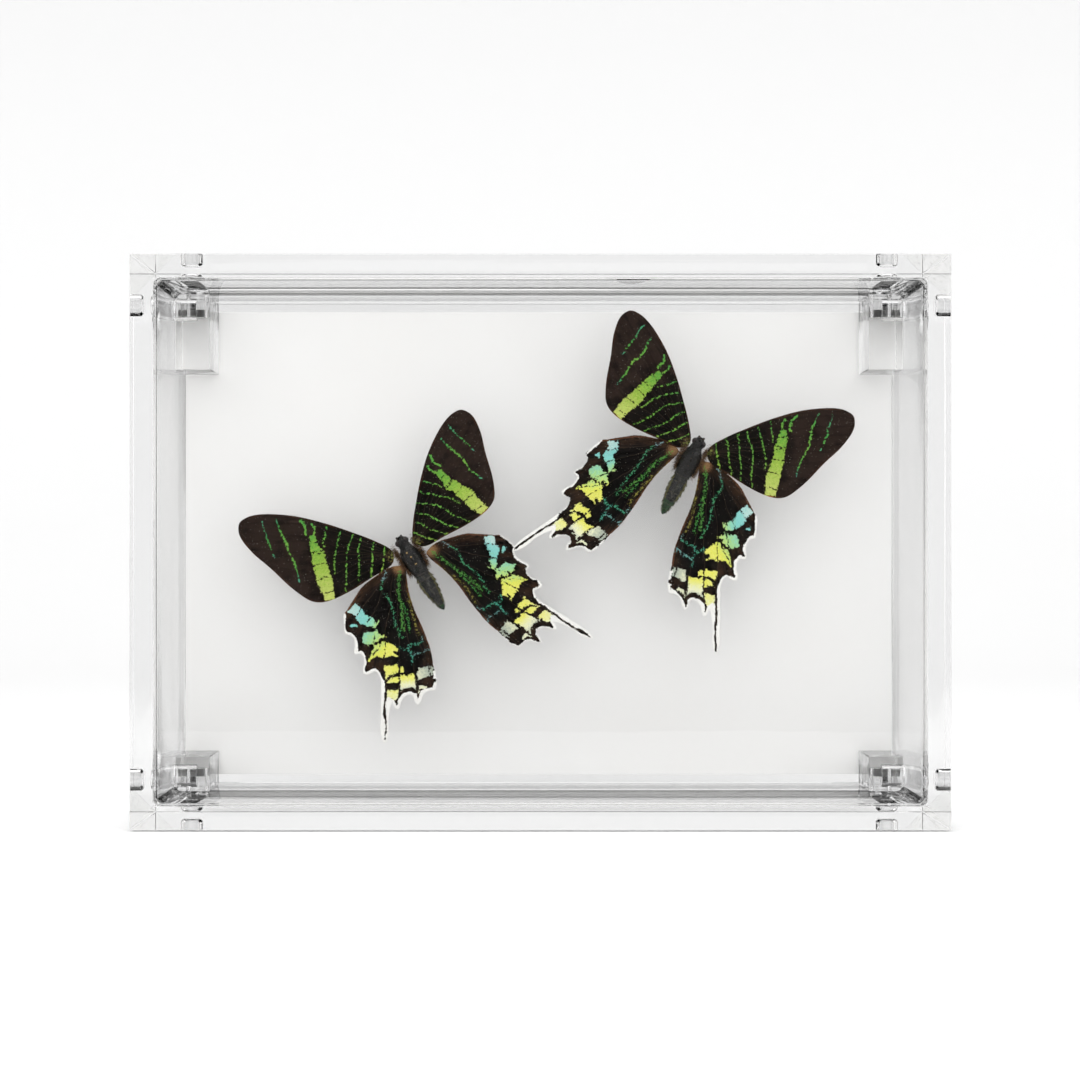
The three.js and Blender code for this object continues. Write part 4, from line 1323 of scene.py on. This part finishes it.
for moth_number, (moth_name, moth) in enumerate(MOTHS.items()):
    rng = np.random.default_rng(70 + moth_number)
    along = np.linspace(BODY[0][0] + 0.05, BODY[-1][0] - 0.05, BODY_RINGS)
    turn = np.arange(BODY_ROUND) * 2 * math.pi / BODY_ROUND
    y, angle = np.meshgrid(along, turn, indexing="ij")
    across, up = trunk_points(y, angle)
    points = np.stack([across, y, up], axis=-1).reshape(-1, 3)
    points += rng.normal(scale=0.012, size=points.shape)
    trunk = new_piece(
        moth_name + "_trunk", moth, points, tube_faces(BODY_RINGS, BODY_ROUND), trunk_material
    )
    y, angle, across = y.ravel(), angle.ravel(), across.ravel()
    nearest = np.abs(y[:, None] - np.array(SEGMENT_EDGES)).min(axis=1)
    abdomen = fade(y, -5.4, -4.4)
    above = np.sin(angle)
    marks = {
        # A painted highlight: a grey band along the back in place of the chitin's shine, wider on the
        # thorax and strongest on the abdomen.
        "painted_shine": np.exp(-(across / (1.3 - 0.6 * abdomen)) ** 2) * (above > 0.2) * (0.3 + 0.35 * abdomen),
        "olive": abdomen * np.exp(-((above - 0.35) / 0.22) ** 2) * fade(y, -6.5, -5.0),
        "green": fade(y, *((-15.8, -14.8) if moth_number == 0 else (-14.0, -11.5))),
        "line": abdomen * np.exp(-((nearest - 0.04) / 0.09) ** 2) * (above > 0),
        "brown": np.maximum(
            fade(above, 0.1, 0.45) * 0.9, abdomen * np.exp(-((above - 0.05) / 0.2) ** 2)
        ),
        "gold": np.max([
            np.exp(-((across - sx) / 0.28) ** 2 - ((y - sy) / 0.3) ** 2) * (above > 0)
            for sx, sy in ((-0.35, 1.9), (0.1, 0.3), (0.2, -2.0))
        ], axis=0) * (1 if moth_number == 0 else 0.5),
    }
    for mark_name, values in marks.items():
        attribute = trunk.data.attributes.new(mark_name, "FLOAT", "POINT")
        attribute.data.foreach_set("value", values.astype(np.float32))
    corner = np.zeros(len(trunk.data.loops), np.int32)
    trunk.data.loops.foreach_get("vertex_index", corner)
    flat = np.stack([np.sin(angle) * 0.12 + 0.3 * (np.cos(angle) > 0), (y + 17) / 24], axis=1)
    trunk.data.uv_layers.new(name="body")
    trunk.data.uv_layers["body"].data.foreach_set("uv", flat[corner].astype(np.float32).ravel())

    parts = [trunk]
    for side in (-1, 1):
        eye_at = np.array([side * EYE_AT[0], EYE_AT[1], EYE_AT[2]])
        bpy.ops.object.select_all(action="DESELECT")
        bpy.ops.mesh.primitive_uv_sphere_add(
            segments=28, ring_count=18, radius=EYE_R * mm,
            location=Vector(to_frame(moth, *eye_at)),
        )
        eye = bpy.context.object
        bpy.ops.object.shade_smooth()
        bpy.ops.object.transform_apply(location=True, rotation=True, scale=True)
        eye.data.materials.append(eye_material)
        parts.append(eye)
        palp_path = [
            (side * 0.4, 6.0, 0.2), (side * 0.6, 6.6, 0.4), (side * 0.7, 6.9, 0.8),
            (side * 0.5, 6.7, 1.2),
        ]
        palp, palp_faces = limb(palp_path, PALP_RADII)
        parts.append(new_piece("palp", moth, palp, palp_faces, leg_material))
        for root, knee, foot in LEGS:
            path = [(side * p[0], p[1], p[2]) for p in (root, knee, foot)]
            leg, leg_faces = limb(path, LEG_RADII)
            parts.append(new_piece("leg", moth, leg, leg_faces, leg_material))

    hair_y = rng.uniform(-4.5, 6.6, FUR_COUNT)
    hair_turn = rng.uniform(-0.5, math.pi + 0.5, FUR_COUNT)
    x, z = trunk_points(hair_y, hair_turn)
    roots = np.stack([x, hair_y, z], axis=1)
    ways = np.stack([np.cos(hair_turn), -0.9 + 0 * hair_y, np.sin(hair_turn) * 0.7], axis=1)
    ways += rng.normal(scale=0.25, size=ways.shape)
    lengths = rng.uniform(0.25, 0.6, FUR_COUNT)
    fur, fur_faces = hairs(roots, ways, lengths, FUR_WIDE, rng)
    parts.append(new_piece("fur", moth, fur, fur_faces, hair_materials["black body hair"]))

    hair_y = rng.uniform(-16.2, -4.6, FLANK_HAIR_COUNT)
    flank_turn = np.where(rng.random(FLANK_HAIR_COUNT) < 0.5, 0.0, math.pi)
    flank_turn += rng.normal(scale=0.3, size=FLANK_HAIR_COUNT)
    x, z = trunk_points(hair_y, flank_turn)
    roots = np.stack([x, hair_y, z], axis=1)
    ways = np.stack([np.cos(flank_turn), -1.3 + 0 * hair_y, 0.3 * np.sin(flank_turn)], axis=1)
    ways += rng.normal(scale=0.2, size=ways.shape)
    lengths = rng.uniform(0.25, 0.55, FLANK_HAIR_COUNT)
    fringe_hair, fringe_faces = hairs(roots, ways, lengths, FLANK_HAIR_WIDE, rng)
    parts.append(new_piece("flank", moth, fringe_hair, fringe_faces, hair_materials["olive side hair"]))

    for side in (-1, 1):
        for middle, spread, way, count in (
            ((2.7, 3.2, 0.9), (0.35, 0.9, 0.25), (1.0, 0.25, 0.35), 420),
            ((2.8, 0.2, 0.5), (0.4, 1.2, 0.3), (1.0, -0.75, 0.3), 520),
            ((2.5, -2.2, 0.2), (0.35, 0.9, 0.3), (0.7, -1.3, 0.15), 360),
        ):
            roots = rng.normal(size=(count, 3)) * spread + middle
            ways = np.array(way) + rng.normal(scale=0.22, size=(count, 3))
            roots[:, 0] *= side
            ways[:, 0] *= side
            lengths = rng.uniform(0.6, 1.7, count)
            tuft, tuft_faces = hairs(roots, ways, lengths, TUFT_HAIR_WIDE, rng)
            brown_hair = hair_materials["brown wing-base hair"]
            parts.append(new_piece("tuft", moth, tuft, tuft_faces, brown_hair))

    body = join(parts, moth_name + "_furred_body")
    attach(body, "root")
    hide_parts(moth_name + "_body")

# Support posts
# A clear acrylic rod from the board to the underside of each thorax, where the moth hides it.
for moth_name in MOTHS:
    low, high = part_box(moth_name + "_post")
    bpy.ops.object.select_all(action="DESELECT")
    bpy.ops.mesh.primitive_cylinder_add(
        vertices=40, radius=(high.x - low.x) / 2, depth=high.y - low.y,
        location=(low + high) / 2, rotation=(math.pi / 2, 0, 0),
    )
    post = bpy.context.object
    post.name = "acrylic_" + moth_name + "_post"
    bpy.ops.object.transform_apply(location=True, rotation=True, scale=True)
    finish_edges(post, 0.15 * mm)
    bpy.ops.object.shade_smooth_by_angle(angle=math.radians(40))
    post.data.materials.append(acrylic)
    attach(post, "root")
    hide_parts(moth_name + "_post")
